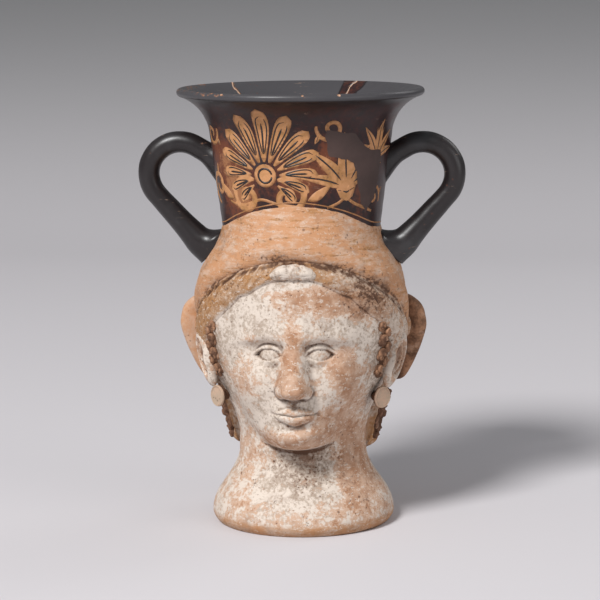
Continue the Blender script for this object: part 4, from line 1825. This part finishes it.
def build_curls():
    heads, look = Heads(), finish()
    tree = curl_tree("pressed_curls")
    ochre = bare_clay("curl_ochre", look.clay, look.stain, 0.9)
    brown = bare_clay("curl_brown", look.curl_clay, look.stain, 1.2)
    for name, shares, clay, seed in (
        ("temple_curls", TEMPLE_CURL_SHARES, ochre, 4), ("side_curls", SIDE_CURL_SHARES, brown, 8),
    ):
        places, ways, scales = [], [], []
        between = [
            ((a[0] + b[0]) / 2 + (2.6 if k % 2 else -2.6), (a[1] + b[1]) / 2, 0.74 * a[2])
            for k, (a, b) in enumerate(zip(shares, shares[1:]))
        ]
        for round_it, up, share in shares + between:
            facing, degrees_round = (FRONT, round_it) if round_it <= 90 else (BACK, 180 - round_it)
            place = heads.skin_point(facing, math.radians(degrees_round), up * JOINT_HEIGHT)
            places.append(place)
            ways.append(Vector((place.x, place.y, 0)).normalized())
            scales.append(0.94 * share)
        points, faces, crevice = grown_curls(name, tree, places, ways, scales, clay, seed)
        masks = {"crevice": np.clip(crevice, 0, 1)}
        paired_pieces(name + "_strung_", points, faces, clay, name + "_", masks)


def build_moustache():
    heads, b = Heads(), satyr_sizes()
    top = heads.mouth_height + heads.w.upper_lip + b.moustache / 2
    points, faces, crevices = [], [], []
    fine = np.linspace(-0.10, 1.0, 80)
    down = steady_curve(MOUSTACHE_SHARES, 1, fine)
    thick = steady_curve(MOUSTACHE_SHARES, 2, fine)
    for side in (1, -1):
        path = []
        for out, drop in zip(fine, down):
            x, z = out * MOUSTACHE_REACH, top - drop * MOUSTACHE_DROP
            turn = math.asin(x / heads.w.face_depth)
            place = heads.skin_point(BACK, turn, z)
            path.append((side * x, place.y, z))
        path = smoothed(np.array(path), 8)
        ends = dome(np.clip((fine - 0.93) / 0.075, 0, 1)) * dome(np.clip((-0.03 - fine) / 0.072, 0, 1))
        rings = swept_rings(path, b.moustache * thick * np.maximum(ends, 0.06), 48)
        spine = rings.mean(1, keepdims=True)
        strand = np.cos(9 * round_turns(48) + 5 * np.sin(2.2 * fine)[:, None])
        rings = spine + (rings - spine) * (1 + 0.10 * strand)[..., None]
        tube_points, tube_faces = closed_tube(rings)
        tube_faces = outward(tube_points, tube_faces)
        faces += [[k + len(points) for k in face] for face in tube_faces]
        points += tube_points.tolist()
        crevices += np.clip(0.35 - 0.65 * strand, 0, 1).ravel().tolist() + [0.2, 0.2]
    look = finish()
    clay = bare_clay("moustache_clay", look.ochre, look.clay, 0.6)
    masks = {"crevice": crevices}
    new_piece("drooping_moustache", np.array(points), faces, clay, "moustache", masks)


def dress_inner_pieces():
    """Clay for the CAD pieces that stay as they are: the floor and the coils inside."""
    look = finish()
    coil = bare_clay("coil_clay", look.clay, look.ochre, 0.4)
    for node in ("floor_disc", "joint_coil", "seam_coil_left", "seam_coil_right"):
        piece = bpy.data.objects[node]
        if not piece.material_slots:
            piece.data.materials.append(coil)
        for place in piece.material_slots:
            place.material = coil


# The studio


def floor_material():
    look, paint = finish(), Paint("studio_paper")
    _, depth, height = paint.place.parts()
    climb = (depth * 0.55 + height * 1.6).between(0.42, 1.28)
    tone = paint.mix(climb, look.floor, look.backdrop)
    return paint.finished(tone, 0.85, paint.bump(paint.noise(0.9, 2), 0.03, 0.2), 0.15)


def build_stage():
    """A sheet of paper that rises behind the cup, three lamps and the camera."""
    look, scene = finish(), bpy.context.scene
    turns = np.linspace(0, QUARTER_TURN, 24)
    bend_start = bend = 0.9
    line = [(-1.6, 0.0), (-0.6, 0.0), (0.4, 0.0), (bend_start, 0.0)]
    line += [(bend_start + bend * math.sin(t), bend * (1 - math.cos(t))) for t in turns[1:]] + [(1.8, 2.6)]
    points = [(x, y, z) for y, z in line for x in (-2.6, 2.6)]
    faces = [[2 * k, 2 * k + 1, 2 * k + 3, 2 * k + 2] for k in range(len(line) - 1)]
    mesh = plain_mesh("paper_sweep", points, faces, [floor_material()])
    mesh.polygons.foreach_set("use_smooth", [True] * len(faces))
    sweep = linked("paper_sweep", mesh)
    for name, power, place, size in (
        ("key_lamp", look.key_power, (-1.03, -1.86, 2.12), 0.84),
        ("fill_lamp", look.fill_power, (1.25, -0.75, 0.55), 0.9),
        ("back_lamp", look.fill_power * 0.8, (1.0, 0.8, 1.0), 0.7),
    ):
        lamp = bpy.data.lights.new(name, "AREA")
        lamp.shape, lamp.size, lamp.energy = "DISK", size, power
        holder = linked(name, lamp)
        holder.location = place
        aim = Vector((0, 0, 0.10)) - holder.location
        holder.rotation_euler = aim.to_track_quat("-Z", "Y").to_euler()
    world = bpy.data.worlds.new("studio_air")
    world.use_nodes = True
    background = world.node_tree.nodes["Background"]
    background.inputs["Color"].default_value = (0.92, 0.95, 1.0, 1.0)
    background.inputs["Strength"].default_value = look.sky
    scene.world = world
    camera = bpy.data.cameras.new("camera")
    camera.sensor_width, camera.lens, camera.shift_x = 36.0, 138.9, -0.0035
    camera.clip_start, camera.clip_end = 0.05, 20
    holder = linked("camera", camera)
    distance, height = 1.028, 0.256
    pitch, round_it, roll = (math.radians(angle) for angle in (8.65, 5, 0.45))
    holder.location = (distance * math.sin(round_it), -distance * math.cos(round_it), height)
    way = Matrix.Rotation(round_it, 4, "Z") @ Matrix.Rotation(QUARTER_TURN - pitch, 4, "X")
    holder.rotation_euler = (way @ Matrix.Rotation(-roll, 4, "Z")).to_euler()
    scene.camera = holder
    scene.view_settings.view_transform = "Standard"


# Operators, panel and the run itself


class HEADCUP_OT_heads(bpy.types.Operator):
    """Build both sculpted heads"""

    bl_idname = "headcup.heads"
    bl_label = "Sculpted heads"

    def execute(self, context):
        clay = slipped_clay("head_clay")
        build_head(FRONT, "woman_head", "front_head", clay)
        build_head(BACK, "satyr_head", "back_head", clay)
        return {"FINISHED"}


class HEADCUP_OT_mouth(bpy.types.Operator):
    """Build the turned mouth with its breaks and its plaster fill"""

    bl_idname = "headcup.mouth"
    bl_label = "Turned mouth"

    def execute(self, context):
        build_mouth()
        return {"FINISHED"}


class HEADCUP_OT_drawing(bpy.types.Operator):
    """Lay the painted design on the neck"""

    bl_idname = "headcup.drawing"
    bl_label = "Neck drawing"

    def execute(self, context):
        build_neck_drawing()
        return {"FINISHED"}


class HEADCUP_OT_handles(bpy.types.Operator):
    """Pull and press on both handles"""

    bl_idname = "headcup.handles"
    bl_label = "Handles"

    def execute(self, context):
        build_handles()
        return {"FINISHED"}


class HEADCUP_OT_ears(bpy.types.Operator):
    """Build the woman's ears and earrings and the satyr's ears"""

    bl_idname = "headcup.ears"
    bl_label = "Ears and earrings"

    def execute(self, context):
        build_woman_ears()
        build_earrings()
        build_satyr_ears()
        return {"FINISHED"}


class HEADCUP_OT_curls(bpy.types.Operator):
    """Press on the curls, the brow's lumps and the moustache"""

    bl_idname = "headcup.curls"
    bl_label = "Curls and moustache"

    def execute(self, context):
        build_brow_knot()
        build_curls()
        build_moustache()
        return {"FINISHED"}


class HEADCUP_OT_inside(bpy.types.Operator):
    """Give the floor disc and the inner coils their clay"""

    bl_idname = "headcup.inside"
    bl_label = "Floor and coils"

    def execute(self, context):
        dress_inner_pieces()
        return {"FINISHED"}


class HEADCUP_OT_stage(bpy.types.Operator):
    """Set up the paper sweep, lamps and camera"""

    bl_idname = "headcup.stage"
    bl_label = "Studio"

    def execute(self, context):
        build_stage()
        return {"FINISHED"}


OPERATORS = (
    HEADCUP_OT_heads, HEADCUP_OT_mouth, HEADCUP_OT_drawing, HEADCUP_OT_handles,
    HEADCUP_OT_ears, HEADCUP_OT_curls, HEADCUP_OT_inside, HEADCUP_OT_stage,
)


class HEADCUP_PT_panel(bpy.types.Panel):
    """Lists the steps that dress the cup"""

    bl_idname = "HEADCUP_PT_panel"
    bl_label = "Two-headed cup"
    bl_space_type = "VIEW_3D"
    bl_region_type = "UI"
    bl_category = "Head cup"

    def draw(self, context):
        for operator in OPERATORS:
            self.layout.operator(operator.bl_idname)


GROUPS = (
    ("head_cup_sizes", HeadCupSizes), ("head_cup_woman", HeadCupWoman), ("head_cup_satyr", HeadCupSatyr),
    ("head_cup_handles", HeadCupHandles), ("head_cup_finish", HeadCupFinish),
)


def register():
    for name, group in GROUPS:
        bpy.utils.register_class(group)
        setattr(bpy.types.Scene, name, bpy.props.PointerProperty(type=group))
    for operator in OPERATORS:
        bpy.utils.register_class(operator)
    bpy.utils.register_class(HEADCUP_PT_panel)


def unregister():
    bpy.utils.unregister_class(HEADCUP_PT_panel)
    for operator in reversed(OPERATORS):
        bpy.utils.unregister_class(operator)
    for name, group in reversed(GROUPS):
        delattr(bpy.types.Scene, name)
        bpy.utils.unregister_class(group)


def main():
    register()
    bpy.ops.headcup.heads()
    bpy.ops.headcup.mouth()
    bpy.ops.headcup.drawing()
    bpy.ops.headcup.handles()
    bpy.ops.headcup.ears()
    bpy.ops.headcup.curls()
    bpy.ops.headcup.inside()
    bpy.ops.headcup.stage()


if __name__ == "__main__":
    main()
